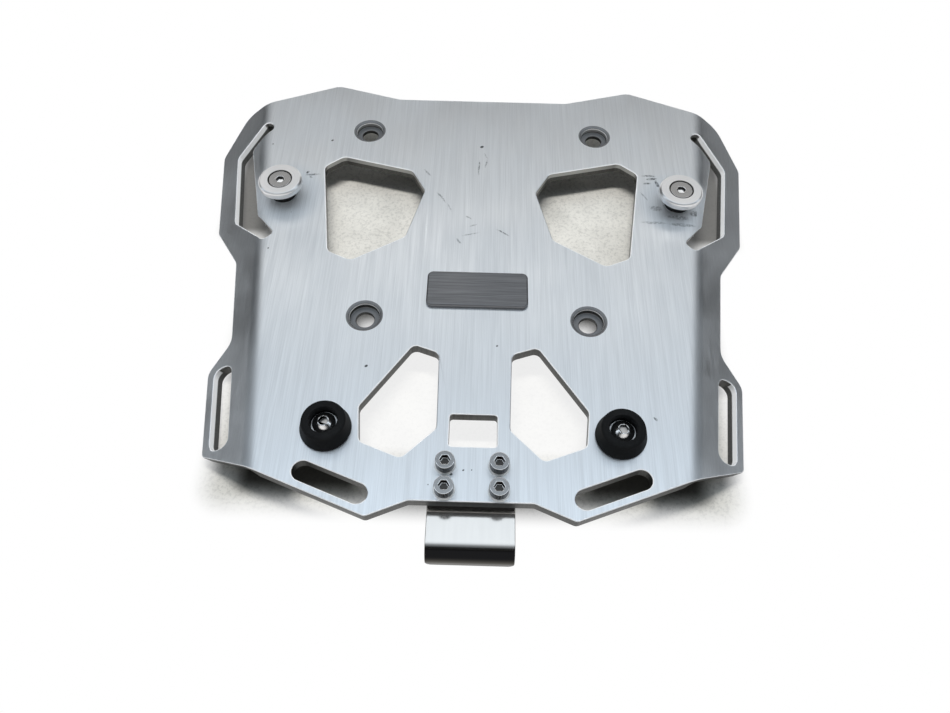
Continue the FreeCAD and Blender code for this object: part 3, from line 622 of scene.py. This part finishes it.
def plate_finish(settings):
    """Brushed sheet with rub marks and pits, dull machined faces, cut walls with painted reflection,
    highlight and shade, and a painted highlight on the broken edges.
    """
    material, tree, shader, place = new_finish("brushed plate")
    grain = use_group(tree, "brushed grain", {"Vector": place})
    wear = use_group(tree, "surface wear", {"Vector": place, "Pit Size": SMALL_PIT})
    tone = calc(tree, "ADD", calc(tree, "MULTIPLY", grain["Fine"], FINE_SHARE),
                calc(tree, "MULTIPLY", grain["Broad"], BROAD_SHARE))
    darker, lighter = (scaled(settings.face, streak) for streak in STREAKS)
    face = blend(tree, spread(tree, tone, *MIDTONES), darker, lighter)
    face = blend(tree, calc(tree, "MULTIPLY", wear["Pit"], PLATE_PIT), face, settings.stain)
    on_top = calc(tree, "GREATER_THAN", parts_of(tree, place)[2], PLATE_TOP - MARK_DEPTH)
    marks = calc(tree, "MULTIPLY", plate_marks(tree, place), on_top)
    face = blend(tree, marks, face, settings.stain)
    bored = rack_bores(tree, place, settings.bore_reach)
    face = blend(tree, bored, face, settings.bore)
    on_wall, wall, saw, outer = cut_walls(tree, place, settings)
    # Broken edges take the painted highlight, except on the machined faces round the rack bolt holes
    edge = calc(tree, "MULTIPLY", broken_edges(tree, place, settings), inverse(tree, bored))
    face = blend(tree, edge, blend(tree, on_wall, face, wall), settings.painted_edge_highlight)
    feed(tree, shader.inputs["Base Color"], face)
    # The painted highlights on the broken edges and the outer walls are matt, not metal
    feed(tree, shader.inputs["Metallic"], inverse(tree, calc(tree, "MAXIMUM", outer, edge)))
    rings = rings_round_puck(tree, place)
    roughness = spread(tree, tone, *GRAIN_LIMITS, settings.gloss + GRAIN_ROUGH, settings.gloss - GRAIN_ROUGH)
    for more in (
        spread(tree, wear["Cloud"], *CLOUD_LIMITS, *CLOUD_ROUGH),
        calc(tree, "MULTIPLY", calc(tree, "MAXIMUM", marks, bored), MARK_ROUGH),
        spread(tree, rings["Radius"], *PUCK_ROUGH_REACH, 0.0, PUCK_ROUGH),
        calc(tree, "MULTIPLY", outer, OUTER_ROUGH),
        calc(tree, "MULTIPLY", on_wall, WALL_ROUGH),
    ):
        roughness = calc(tree, "ADD", roughness, more)
    feed(tree, shader.inputs["Roughness"], roughness)
    add_bump(tree, shader, blend(tree, on_wall, grain["Fine"], saw), *PLATE_BUMP)
    return material


BADGE_GRAIN = (0.28, 0.72)
BADGE_STREAKS = (0.75, 1.3)
BADGE_PIT = 0.5
BADGE_PIT_TINT = (0.4, 0.4, 0.4)
BADGE_ROUGH = (0.36, 0.50)
BADGE_BUMP = (0.01 * MM, 0.6)


def badge_finish(settings):
    """Dark metal brushed across the plate's own grain."""
    material, tree, shader, place = new_finish("dark badge")
    turn = add_node(tree, "ShaderNodeMapping", {"Vector": place, "Rotation": (0.0, 0.0, math.radians(90))})
    grain = use_group(tree, "brushed grain", {"Vector": turn.outputs[0]})
    wear = use_group(tree, "surface wear", {"Vector": place, "Pit Size": LARGE_PIT})
    darker, lighter = (scaled(settings.face, streak) for streak in BADGE_STREAKS)
    face = blend(tree, spread(tree, grain["Fine"], *BADGE_GRAIN), darker, lighter)
    face = blend(tree, calc(tree, "MULTIPLY", wear["Pit"], BADGE_PIT), face, BADGE_PIT_TINT)
    feed(tree, shader.inputs["Base Color"], face)
    shader.inputs["Metallic"].default_value = 1.0
    feed(tree, shader.inputs["Roughness"], spread(tree, wear["Cloud"], *MIDTONES, *BADGE_ROUGH))
    add_bump(tree, shader, grain["Fine"], *BADGE_BUMP)
    return material


PUCK_STREAK = 0.90
PUCK_PIT = 0.6
PUCK_PIT_TINT = (0.25, 0.25, 0.25)
# Half width of the painted shade in the gap round the screw, outside and inside its soft edge, and its colour
GAP_HALF = (0.6 * MM, 0.25 * MM)
PAINTED_GAP_SHADE = (0.03, 0.03, 0.03)
PUCK_GLOSS = (0.24, 0.36)
PUCK_BUMP = (0.008 * MM, 0.5)


def puck_finish(settings):
    """Bright turned metal with painted shade in the gap round the countersunk screw."""
    material, tree, shader, place = new_finish("bright puck")
    rings = rings_round_puck(tree, place)
    wear = use_group(tree, "surface wear", {"Vector": place, "Pit Size": LARGE_PIT})
    tone = spread(tree, rings["Ring"], *MIDTONES)
    face = blend(tree, tone, scaled(settings.face, PUCK_STREAK), settings.face)
    face = blend(tree, calc(tree, "MULTIPLY", wear["Pit"], PUCK_PIT), face, PUCK_PIT_TINT)
    from_head = calc(tree, "ABSOLUTE", calc(tree, "SUBTRACT", rings["Radius"], settings.sink))
    # Painted shade in the gap round the screw
    gap = spread(tree, from_head, *GAP_HALF)
    feed(tree, shader.inputs["Base Color"], blend(tree, gap, face, PAINTED_GAP_SHADE))
    shader.inputs["Metallic"].default_value = 1.0
    feed(tree, shader.inputs["Roughness"], spread(tree, wear["Cloud"], *MIDTONES, *PUCK_GLOSS))
    add_bump(tree, shader, rings["Ring"], *PUCK_BUMP)
    return material


# Each moulded finish: scale of its skin, depth of the skin and limits of its roughness
MOULDED = {
    "black bush": (1500.0, 0.01 * MM, (0.40, 0.55)),
    "bumper rubber": (1100.0, 0.02 * MM, (0.55, 0.70)),
    "black spacer": (900.0, 0.02 * MM, (0.5, 0.65)),
    "black insert": (1500.0, 0.01 * MM, (0.45, 0.6)),
}
MOULDED_GLOSS = 0.12
SKIN_DETAIL = 3.0
SKIN_ROUGHNESS = 0.6
SKIN_STRENGTH = 0.6
SKIN_TONES = (0.8, 1.25)
DUST = (90.0, 4.0, 0.6)
DUST_LIMITS = (0.52, 0.78)
DUST_SHARE = 0.25
# Dust adds this to each part of a colour that it also lightens
DUST_TINT = 0.018
DUST_LIGHT = 1.2


def moulded_finish(name, tint):
    """Matt moulded rubber or plastic with a fine skin and a trace of dust."""
    skin_scale, depth, roughness = MOULDED[name]
    material, tree, shader, place = new_finish(name)
    wear = use_group(tree, "surface wear", {"Vector": place, "Pit Size": SMALL_PIT})
    skin = noise(tree, place, skin_scale, SKIN_DETAIL, SKIN_ROUGHNESS)
    shader.inputs["Specular IOR Level"].default_value = MOULDED_GLOSS
    dust = spread(tree, noise(tree, place, *DUST), *DUST_LIMITS, 0.0, DUST_SHARE)
    thin, thick = (scaled(tint, tone) for tone in SKIN_TONES)
    dusty = tuple(DUST_TINT + DUST_LIGHT * part for part in tint)
    face = blend(tree, spread(tree, skin, *MIDTONES), thin, thick)
    feed(tree, shader.inputs["Base Color"], blend(tree, dust, face, dusty))
    feed(tree, shader.inputs["Roughness"], spread(tree, wear["Cloud"], *MIDTONES, *roughness))
    add_bump(tree, shader, skin, depth, SKIN_STRENGTH)
    return material


# Each steel finish, by the last word of its name: limits of its roughness, and how dark its draw marks are
STEEL = {
    "hook": ((0.11, 0.16), 0.03),
    "screw": ((0.14, 0.26), 0.14),
    "washer": ((0.36, 0.50), 0.14),
    "nut": ((0.28, 0.42), 0.14),
}
STEEL_PIT = 0.5
STEEL_PIT_TINT = (0.12, 0.11, 0.10)
STEEL_BUMP = (0.004 * MM, 0.4)


def steel_finish(name, tint):
    """Bright steel with draw marks and faint clouds; gives what new_finish gives, and its face colour."""
    roughness, streak = STEEL[name.split()[-1]]
    material, tree, shader, place = new_finish(name)
    grain = use_group(tree, "brushed grain", {"Vector": place})
    wear = use_group(tree, "surface wear", {"Vector": place, "Pit Size": LARGE_PIT})
    face = blend(tree, spread(tree, grain["Broad"], *MIDTONES), scaled(tint, 1.0 - streak), tint)
    face = blend(tree, calc(tree, "MULTIPLY", wear["Pit"], STEEL_PIT), face, STEEL_PIT_TINT)
    feed(tree, shader.inputs["Base Color"], face)
    shader.inputs["Metallic"].default_value = 1.0
    feed(tree, shader.inputs["Roughness"], spread(tree, wear["Cloud"], *MIDTONES, *roughness))
    add_bump(tree, shader, grain["Fine"], *STEEL_BUMP)
    return material, tree, shader, place, face


# Rise of the normal where the hook's strip gives way to the painted dark reflection on its bend, and the bend
# to the painted floor reflection on its turned-down end
BEND_RISE = (0.93, 0.86)
TAIL_RISE = (0.55, 0.15)


def hook_finish(settings):
    """Polished strip with painted dark reflections on its bend and on its turned-down end."""
    material, tree, shader, _, face = steel_finish("polished hook", settings.strip)
    rise = parts_of(tree, add_node(tree, "ShaderNodeNewGeometry").outputs["Normal"])[2]
    # The bend and the turned-down end take their painted reflections
    lower = blend(tree, spread(tree, rise, *TAIL_RISE), settings.bend, settings.tail)
    feed(tree, shader.inputs["Base Color"], blend(tree, spread(tree, rise, *BEND_RISE), face, lower))
    return material


# Rise of the normal on the sides and the flats of the screws
SIDE_RISE = (-0.3, 0.5)
FLAT_RISE = (0.97, 1.1)
# A flat further than this below the top of a screw is the floor of its socket
SOCKET_DEPTH = 0.6 * MM
RIBS = (2400.0, 1.0, 0.5)
RIB_LIMITS = (0.40, 0.60)
RIB_LIGHT = 2.4
SCREW_BUMP = (0.15 * MM, 0.8)


def screw_finish(settings, stem):
    """Bright screws of one place: flat crowns and socket floors in painted tones, painted shade on the sides,
    and a thread below the plate.
    """
    material, tree, shader, place, face = steel_finish("stainless %s screw" % stem, settings.screw)
    crown = getattr(settings, stem + "_crown")
    socket = getattr(settings, stem + "_socket")
    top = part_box(stem + "_screws")[1].z
    x, y, z = parts_of(tree, place)
    above = calc(tree, "GREATER_THAN", z, PLATE_TOP)
    ribs = spread(tree, noise(tree, join_parts(tree, x, y, 0.0), *RIBS), *RIB_LIMITS)
    side = calc(tree, "MULTIPLY", facing(tree, *SIDE_RISE), above)
    flat = facing(tree, *FLAT_RISE)
    in_socket = calc(tree, "MULTIPLY", flat, calc(tree, "LESS_THAN", z, top - SOCKET_DEPTH))
    # Crowns and socket floors take their painted tones; socket floors are matt
    face = blend(tree, in_socket, blend(tree, flat, face, crown), socket)
    feed(tree, shader.inputs["Metallic"], inverse(tree, in_socket))
    # The sides above the plate take the painted shade, ribbed by the knurl pattern
    dark = blend(tree, ribs, settings.painted_knurl_shade, scaled(settings.painted_knurl_shade, RIB_LIGHT))
    feed(tree, shader.inputs["Base Color"], blend(tree, side, face, dark))
    turns = calc(tree, "SINE", calc(tree, "MULTIPLY", z, 2.0 * math.pi / settings.pitch))
    thread = spread(tree, turns, -1.0, 1.0)
    grooves = calc(tree, "MULTIPLY", ribs, side)
    add_bump(tree, shader, blend(tree, above, thread, grooves), *SCREW_BUMP)
    return material


class MOUNT_OT_finish_plate(bpy.types.Operator):
    """Give the folded plate its brushed faces, cut walls, rub marks and broken edges"""

    bl_idname = "mount.finish_plate"
    bl_label = "Finish plate"

    def execute(self, context):
        settings = context.scene.mount_plate
        dress("rack_plate", plate_finish(settings), settings.edge)
        return {"FINISHED"}


class MOUNT_OT_finish_badge(bpy.types.Operator):
    """Give the badge its dark brushed face"""

    bl_idname = "mount.finish_badge"
    bl_label = "Finish badge"

    def execute(self, context):
        settings = context.scene.mount_badge
        dress("badge_plate", badge_finish(settings), settings.edge)
        return {"FINISHED"}


class MOUNT_OT_finish_pucks(bpy.types.Operator):
    """Give the two pucks their turned faces and their black necks"""

    bl_idname = "mount.finish_pucks"
    bl_label = "Finish pucks"

    def execute(self, context):
        settings = context.scene.mount_puck
        bright = puck_finish(settings)
        black = moulded_finish("black bush", settings.bush)
        for side in ("left", "right"):
            dress(side + "_puck", bright, settings.edge)
            dress(side + "_puck_bush", black, settings.edge)
        return {"FINISHED"}


class MOUNT_OT_finish_bumpers(bpy.types.Operator):
    """Give the two bumpers their black rubber"""

    bl_idname = "mount.finish_bumpers"
    bl_label = "Finish bumpers"

    def execute(self, context):
        settings = context.scene.mount_bumper
        rubber = moulded_finish("bumper rubber", settings.rubber)
        for side in ("left", "right"):
            dress(side + "_bumper", rubber, settings.edge)
        return {"FINISHED"}


class MOUNT_OT_finish_hook(bpy.types.Operator):
    """Give the latch hook its polished steel and its packing a dull black"""

    bl_idname = "mount.finish_hook"
    bl_label = "Finish hook"

    def execute(self, context):
        settings = context.scene.mount_hook
        dress("latch_hook", hook_finish(settings), settings.edge)
        dress("hook_spacer", moulded_finish("black spacer", settings.packing), settings.edge)
        return {"FINISHED"}


class MOUNT_OT_finish_fasteners(bpy.types.Operator):
    """Give the screws, washers and lock nuts their steel"""

    bl_idname = "mount.finish_fasteners"
    bl_label = "Finish fasteners"

    def execute(self, context):
        settings = context.scene.mount_fastener
        finishes = {
            "washers": steel_finish("stainless washer", settings.washer)[0],
            "nuts": steel_finish("zinc nut", settings.nut)[0],
        }
        for name in sorted(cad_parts):
            kind = name.split("_")[-1]
            if kind in finishes:
                dress(name, finishes[kind], settings.edge)
        for stem in SCREW_PLACES:
            edge = settings.button_edge if stem == "bumper" else settings.head_edge
            dress(stem + "_screws", screw_finish(settings, stem), edge)
        return {"FINISHED"}


RING_STEPS = 40
# Shares of a ring's width and height that its rounded lower corners take up
RING_BEND = 0.3
RING_STRAIGHT = 0.6


class MOUNT_OT_build_inserts(bpy.types.Operator):
    """Add the black locking rings that show at the lower ends of the nuts"""

    bl_idname = "mount.build_inserts"
    bl_label = "Build nut inserts"

    def execute(self, context):
        settings = context.scene.mount_insert
        small = (settings.small_bore, settings.small_width)
        large = (settings.large_bore, settings.large_width)
        shape = bmesh.new()
        for stem, places in SCREW_PLACES.items():
            bore, across = small if stem == "hook" else large
            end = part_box(stem + "_lock_nuts")[0].z
            for x, y in places:
                self.add_ring(shape, settings, Vector((x, y, end)), bore, across)
        bmesh.ops.recalc_face_normals(shape, faces=shape.faces)
        mesh = bpy.data.meshes.new("nut_inserts")
        shape.to_mesh(mesh)
        shape.free()
        piece = bpy.data.objects.new("nut_inserts", mesh)
        context.scene.collection.objects.link(piece)
        mesh.materials.append(moulded_finish("black insert", settings.tint))
        shade_smooth(mesh)
        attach(piece, "root")
        return {"FINISHED"}

    def add_ring(self, shape, settings, place, bore, across):
        """Turn a rounded ring round the screw, proud of the lower end of the nut's collar."""
        inner = place + Vector((bore, 0.0, settings.sunk))
        outer = place + Vector((bore + across, 0.0, settings.sunk))
        drop = Vector((0.0, 0.0, -settings.sunk - settings.proud))
        bend = Vector((RING_BEND * across, 0.0, 0.0))
        corners = (
            inner, outer, outer + RING_STRAIGHT * drop,
            outer + drop - bend, inner + drop + bend, inner + RING_STRAIGHT * drop,
        )
        verts = [shape.verts.new(corner) for corner in corners]
        edges = [shape.edges.new((verts[index - 1], verts[index])) for index in range(len(verts))]
        bmesh.ops.spin(shape, geom=verts + edges, cent=place, axis=(0.0, 0.0, 1.0), angle=2.0 * math.pi,
                       steps=RING_STEPS, use_merge=True)


# Studio


CAMERA_PLACE = Vector((1.4, -277.5, 313.2)) * MM
CAMERA_YAW = math.radians(-0.48)
CAMERA_PITCH = math.radians(58.19)
CAMERA_ROLL = math.radians(-1.16)
SENSOR_WIDTH = 36.0
CLIP_START = 0.01
# Soft light of the sky: degrees up from the front horizon and over to the rear, and its level there
SKY_LEVELS = (
    (0, 0.03), (36, 0.02), (42, 0.18), (48, 1.0), (53, 1.0), (57, 0.55), (61, 0.08), (65, 0.45), (69, 1.0),
    (76, 1.0), (92, 0.92), (106, 0.26), (120, 0.016),
)
# Two soft dark flags at the front corners of the sky, as parts of a unit direction, and the light they leave
FLAG_SIDE = 0.45
FLAG_FRONT = 0.05
FLAG_SOFT = 0.2
FLAG_LEVEL = 0.12
# Degrees over which the white backdrop gives way to the sky in reflections, low in front and low behind
BACKDROP_FRONT = (19.0, 27.0)
BACKDROP_REAR = (142.0, 128.0)
# Angles between which the sky turns from its front tint to its own
TINT_START = math.radians(50)
TINT_END = math.radians(62)
# The key lamp is a strip above the object, with its back turned along KEY_AIM
KEY_PLACE = Vector((-0.03, -0.045, 0.50))
KEY_AIM = Vector((0.0, -0.045, 0.50))
KEY_SIZE = (0.25, 0.025)
FLOOR_HALF = 4.0
FLOOR_SPECKLE = (520.0, 4.0, 0.75)
SPECKLE_LIMITS = (0.36, 0.54)
FLOOR_CLOUD = (34.0, 3.0, 0.6)
FLOOR_DARK = 0.66
FLOOR_ROUGH = 0.9
FLOOR_GLOSS = 0.1
# The floor fades to a white background round this box, between two distances from it
FADE_SIDE = 0.112
FADE_FRONT = 0.085
FADE_REAR = -0.146
FADE_START = 0.002
FADE_END = 0.018
# Patches of the floor, the same on both sides: painted light under the rear windows that clears their shadow,
# and painted shadow under the ear slots and tie slots; middle, half sizes along x and y, strength
PATCHES = {
    "rear windows": (0.0, -0.092, 0.055, 0.032, 0.80),
    "ear slots": (0.130, 0.040, 0.008, 0.032, 0.88),
    "tie slots": (0.080, -0.133, 0.022, 0.010, 0.92),
}
PATCH_SOFT = 0.012
SHADE_TINT = (0.02, 0.018, 0.012)
WHITE = (1.0, 1.0, 1.0)
# Share of the floor's colour that light keeps when it comes there from another matt surface
FLOOR_BOUNCE = 0.2


def camera_turn():
    """Rotation of a camera that looks down by its pitch, turned by its yaw and rolled."""
    level = Matrix.Rotation(-CAMERA_YAW, 3, "Z") @ Matrix.Rotation(math.radians(90) - CAMERA_PITCH, 3, "X")
    return level @ Matrix.Rotation(-CAMERA_ROLL, 3, "Z")


def mix_shaders(tree, factor, first, second):
    return add_node(tree, "ShaderNodeMixShader", {0: factor, 1: first, 2: second}).outputs[0]


class MOUNT_OT_build_stage(bpy.types.Operator):
    """Add the floor, the lamp, the sky and the camera"""

    bl_idname = "mount.build_stage"
    bl_label = "Build stage"

    def execute(self, context):
        scene = context.scene
        settings = scene.mount_stage
        scene.view_settings.view_transform = "Standard"
        self.add_floor(scene, settings)
        self.add_sky(scene, settings)
        self.add_lamp(scene, settings)
        self.add_camera(scene, settings)
        return {"FINISHED"}

    def add_floor(self, scene, settings):
        mesh = bpy.data.meshes.new("floor")
        shape = bmesh.new()
        bmesh.ops.create_grid(shape, x_segments=2, y_segments=2, size=FLOOR_HALF)
        bmesh.ops.translate(shape, verts=shape.verts, vec=(0.0, 0.0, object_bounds()[0].z))
        shape.to_mesh(mesh)
        shape.free()
        floor = bpy.data.objects.new("floor", mesh)
        scene.collection.objects.link(floor)
        mesh.materials.append(self.floor_finish(settings))
        floor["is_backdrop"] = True

    def floor_finish(self, settings):
        """Mottled floor with painted shadow under the slots and painted light under the rear windows, that
        fades to white away from the object and is clear from below.
        """
        material, tree, shader, place = new_finish("studio floor")
        speckle = spread(tree, noise(tree, place, *FLOOR_SPECKLE), *SPECKLE_LIMITS)
        cloud = spread(tree, noise(tree, place, *FLOOR_CLOUD), *MIDTONES)
        mottle = calc(tree, "MULTIPLY", calc(tree, "ADD", speckle, cloud), 0.5)
        face = blend(tree, mottle, scaled(settings.floor, FLOOR_DARK), settings.floor)
        x, y = parts_of(tree, place)[:2]
        rear_windows, ear_slots, tie_slots = (self.patch(tree, x, y, name) for name in PATCHES)
        # Painted shadow on the floor under the ear slots and tie slots
        shade = calc(tree, "MAXIMUM", ear_slots, tie_slots)
        face = blend(tree, shade, face, SHADE_TINT)
        path = tree.nodes.new("ShaderNodeLightPath").outputs
        bounced = calc(tree, "GREATER_THAN", path["Diffuse Depth"], 0.5)
        dim = scaled(settings.floor, FLOOR_BOUNCE)
        feed(tree, shader.inputs["Base Color"], blend(tree, bounced, face, dim))
        shader.inputs["Roughness"].default_value = FLOOR_ROUGH
        shader.inputs["Specular IOR Level"].default_value = FLOOR_GLOSS
        seen = calc(tree, "MAXIMUM", path["Is Camera Ray"],
                    calc(tree, "MAXIMUM", path["Is Glossy Ray"], path["Is Transmission Ray"]))
        beyond = spread(tree, self.beyond_object(tree, x, y), FADE_START, FADE_END)
        beyond = calc(tree, "MULTIPLY", beyond, inverse(tree, shade))
        # Painted light under the rear windows, shown as the white backdrop, clears the shadow there
        pale = calc(tree, "MAXIMUM", beyond, rear_windows)
        white = add_node(tree, "ShaderNodeEmission", {"Color": WHITE, "Strength": 1.0}).outputs[0]
        above = mix_shaders(tree, calc(tree, "MULTIPLY", seen, pale), shader.outputs[0], white)
        from_below = tree.nodes.new("ShaderNodeNewGeometry").outputs["Backfacing"]
        clear = tree.nodes.new("ShaderNodeBsdfTransparent").outputs[0]
        surface = tree.nodes["Material Output"].inputs["Surface"]
        feed(tree, surface, mix_shaders(tree, from_below, above, clear))
        return material

    def beyond_object(self, tree, x, y):
        """Distance of a point of the floor from the box round the object."""
        side = calc(tree, "SUBTRACT", calc(tree, "ABSOLUTE", x), FADE_SIDE)
        middle = (FADE_FRONT + FADE_REAR) / 2
        along = calc(tree, "ABSOLUTE", calc(tree, "SUBTRACT", y, middle))
        ahead = calc(tree, "SUBTRACT", along, FADE_FRONT - middle)
        beyond = join_parts(tree, calc(tree, "MAXIMUM", side, 0.0), calc(tree, "MAXIMUM", ahead, 0.0), 0.0)
        return add_node(tree, "ShaderNodeVectorMath", {0: beyond}, operation="LENGTH").outputs["Value"]

    def patch(self, tree, x, y, name):
        """Mask of one patch of the floor, with soft edges."""
        middle_x, middle_y, half_x, half_y, strength = PATCHES[name]
        across = calc(tree, "ABSOLUTE", calc(tree, "SUBTRACT", calc(tree, "ABSOLUTE", x), middle_x))
        along = calc(tree, "ABSOLUTE", calc(tree, "SUBTRACT", y, middle_y))
        across = spread(tree, across, half_x + PATCH_SOFT, half_x)
        along = spread(tree, along, half_y + PATCH_SOFT, half_y, 0.0, strength)
        return calc(tree, "MULTIPLY", across, along)

    def add_sky(self, scene, settings):
        world = bpy.data.worlds.new("studio sky")
        scene.world = world
        world.use_nodes = True
        tree = world.node_tree
        x, y, z = parts_of(tree, tree.nodes.new("ShaderNodeTexCoord").outputs["Generated"])
        slope = calc(tree, "ARCTAN2", z, y)
        aside = spread(tree, calc(tree, "ABSOLUTE", x), FLAG_SIDE, FLAG_SIDE + FLAG_SOFT)
        ahead = spread(tree, y, FLAG_FRONT, FLAG_FRONT + FLAG_SOFT)
        flags = calc(tree, "MULTIPLY", aside, ahead)
        sky = self.lit_sky(tree, slope, flags, settings)
        white = add_node(tree, "ShaderNodeBackground", {"Color": WHITE, "Strength": 1.0}).outputs[0]
        mixed = mix_shaders(tree, self.sees_backdrop(tree, slope, flags), sky, white)
        feed(tree, tree.nodes["World Output"].inputs["Surface"], mixed)

    def lit_sky(self, tree, slope, flags, settings):
        """Soft light in bands from the front horizon over to the rear one, dimmed by the flags."""
        level = add_node(tree, "ShaderNodeValToRGB", {0: calc(tree, "DIVIDE", slope, math.pi)})
        ramp = level.color_ramp
        while len(ramp.elements) < len(SKY_LEVELS):
            ramp.elements.new(0.5)
        for stop, (degrees, strength) in zip(ramp.elements, SKY_LEVELS):
            stop.position = degrees / 180.0
            stop.color = (strength, strength, strength, 1.0)
        tint = blend(tree, spread(tree, slope, TINT_START, TINT_END), settings.front, settings.sky)
        glow = blend(tree, 1.0, level.outputs["Color"], tint, "MULTIPLY")
        dimmed = spread(tree, flags, 0.0, 1.0, 1.0, FLAG_LEVEL)
        light = tree.nodes["Background"]
        feed(tree, light.inputs["Color"], glow)
        feed(tree, light.inputs["Strength"], calc(tree, "MULTIPLY", dimmed, settings.sky_strength))
        return light.outputs[0]

    def sees_backdrop(self, tree, slope, flags):
        """Mask of the rays that meet the white backdrop: direct ones, and mirrored ones low down."""
        low_front, low_rear = (
            spread(tree, slope, math.radians(near), math.radians(far), 1.0, 0.0)
            for near, far in (BACKDROP_FRONT, BACKDROP_REAR)
        )
        low = calc(tree, "MULTIPLY", calc(tree, "MAXIMUM", low_front, low_rear), inverse(tree, flags))
        path = tree.nodes.new("ShaderNodeLightPath").outputs
        mirrored = calc(tree, "MULTIPLY", path["Is Glossy Ray"], low)
        seen = calc(tree, "MAXIMUM", path["Is Camera Ray"], path["Is Transmission Ray"])
        return calc(tree, "MAXIMUM", seen, mirrored)

    def add_lamp(self, scene, settings):
        lamp = bpy.data.lights.new("key lamp", "AREA")
        lamp.shape = "RECTANGLE"
        lamp.size, lamp.size_y = KEY_SIZE
        lamp.energy = settings.lamp_power
        lamp.color = tuple(settings.lamp)
        holder = bpy.data.objects.new("key lamp", lamp)
        holder.visible_glossy = False
        turn = KEY_AIM.to_track_quat("Z", "Y").to_matrix().to_4x4()
        holder.matrix_world = Matrix.Translation(KEY_PLACE) @ turn
        scene.collection.objects.link(holder)

    def add_camera(self, scene, settings):
        data = bpy.data.cameras.new("camera")
        data.sensor_fit = "HORIZONTAL"
        data.sensor_width = SENSOR_WIDTH
        data.lens = settings.lens
        data.clip_start = CLIP_START
        camera = bpy.data.objects.new("camera", data)
        camera.matrix_world = Matrix.Translation(CAMERA_PLACE) @ camera_turn().to_4x4()
        scene.collection.objects.link(camera)
        scene.camera = camera


SETTINGS = (
    ("mount_plate", MountPlate), ("mount_badge", MountBadge), ("mount_puck", MountPuck),
    ("mount_bumper", MountBumper), ("mount_hook", MountHook), ("mount_fastener", MountFastener),
    ("mount_insert", MountInsert), ("mount_stage", MountStage),
)
OPERATORS = (
    MOUNT_OT_finish_plate, MOUNT_OT_finish_badge, MOUNT_OT_finish_pucks, MOUNT_OT_finish_bumpers,
    MOUNT_OT_finish_hook, MOUNT_OT_finish_fasteners, MOUNT_OT_build_inserts, MOUNT_OT_build_stage,
)


class MOUNT_PT_panel(bpy.types.Panel):
    """Finishes and stage of the top box mount"""

    bl_idname = "MOUNT_PT_panel"
    bl_label = "Top box mount"
    bl_space_type = "VIEW_3D"
    bl_region_type = "UI"
    bl_category = "Mount"

    def draw(self, context):
        for name, group in SETTINGS:
            box = self.layout.box()
            box.label(text=name.replace("_", " ").capitalize())
            for key in group.__annotations__:
                box.prop(getattr(context.scene, name), key)
        for operator in OPERATORS:
            self.layout.operator(operator.bl_idname)


def register():
    for name, group in SETTINGS:
        bpy.utils.register_class(group)
        setattr(bpy.types.Scene, name, PointerProperty(type=group))
    for operator in OPERATORS:
        bpy.utils.register_class(operator)
    bpy.utils.register_class(MOUNT_PT_panel)


def unregister():
    bpy.utils.unregister_class(MOUNT_PT_panel)
    for operator in reversed(OPERATORS):
        bpy.utils.unregister_class(operator)
    for name, group in reversed(SETTINGS):
        delattr(bpy.types.Scene, name)
        bpy.utils.unregister_class(group)


def main():
    register()
    bpy.ops.mount.finish_plate()
    bpy.ops.mount.finish_badge()
    bpy.ops.mount.finish_pucks()
    bpy.ops.mount.finish_bumpers()
    bpy.ops.mount.finish_hook()
    bpy.ops.mount.finish_fasteners()
    bpy.ops.mount.build_inserts()
    bpy.ops.mount.build_stage()


if __name__ == "__main__":
    main()
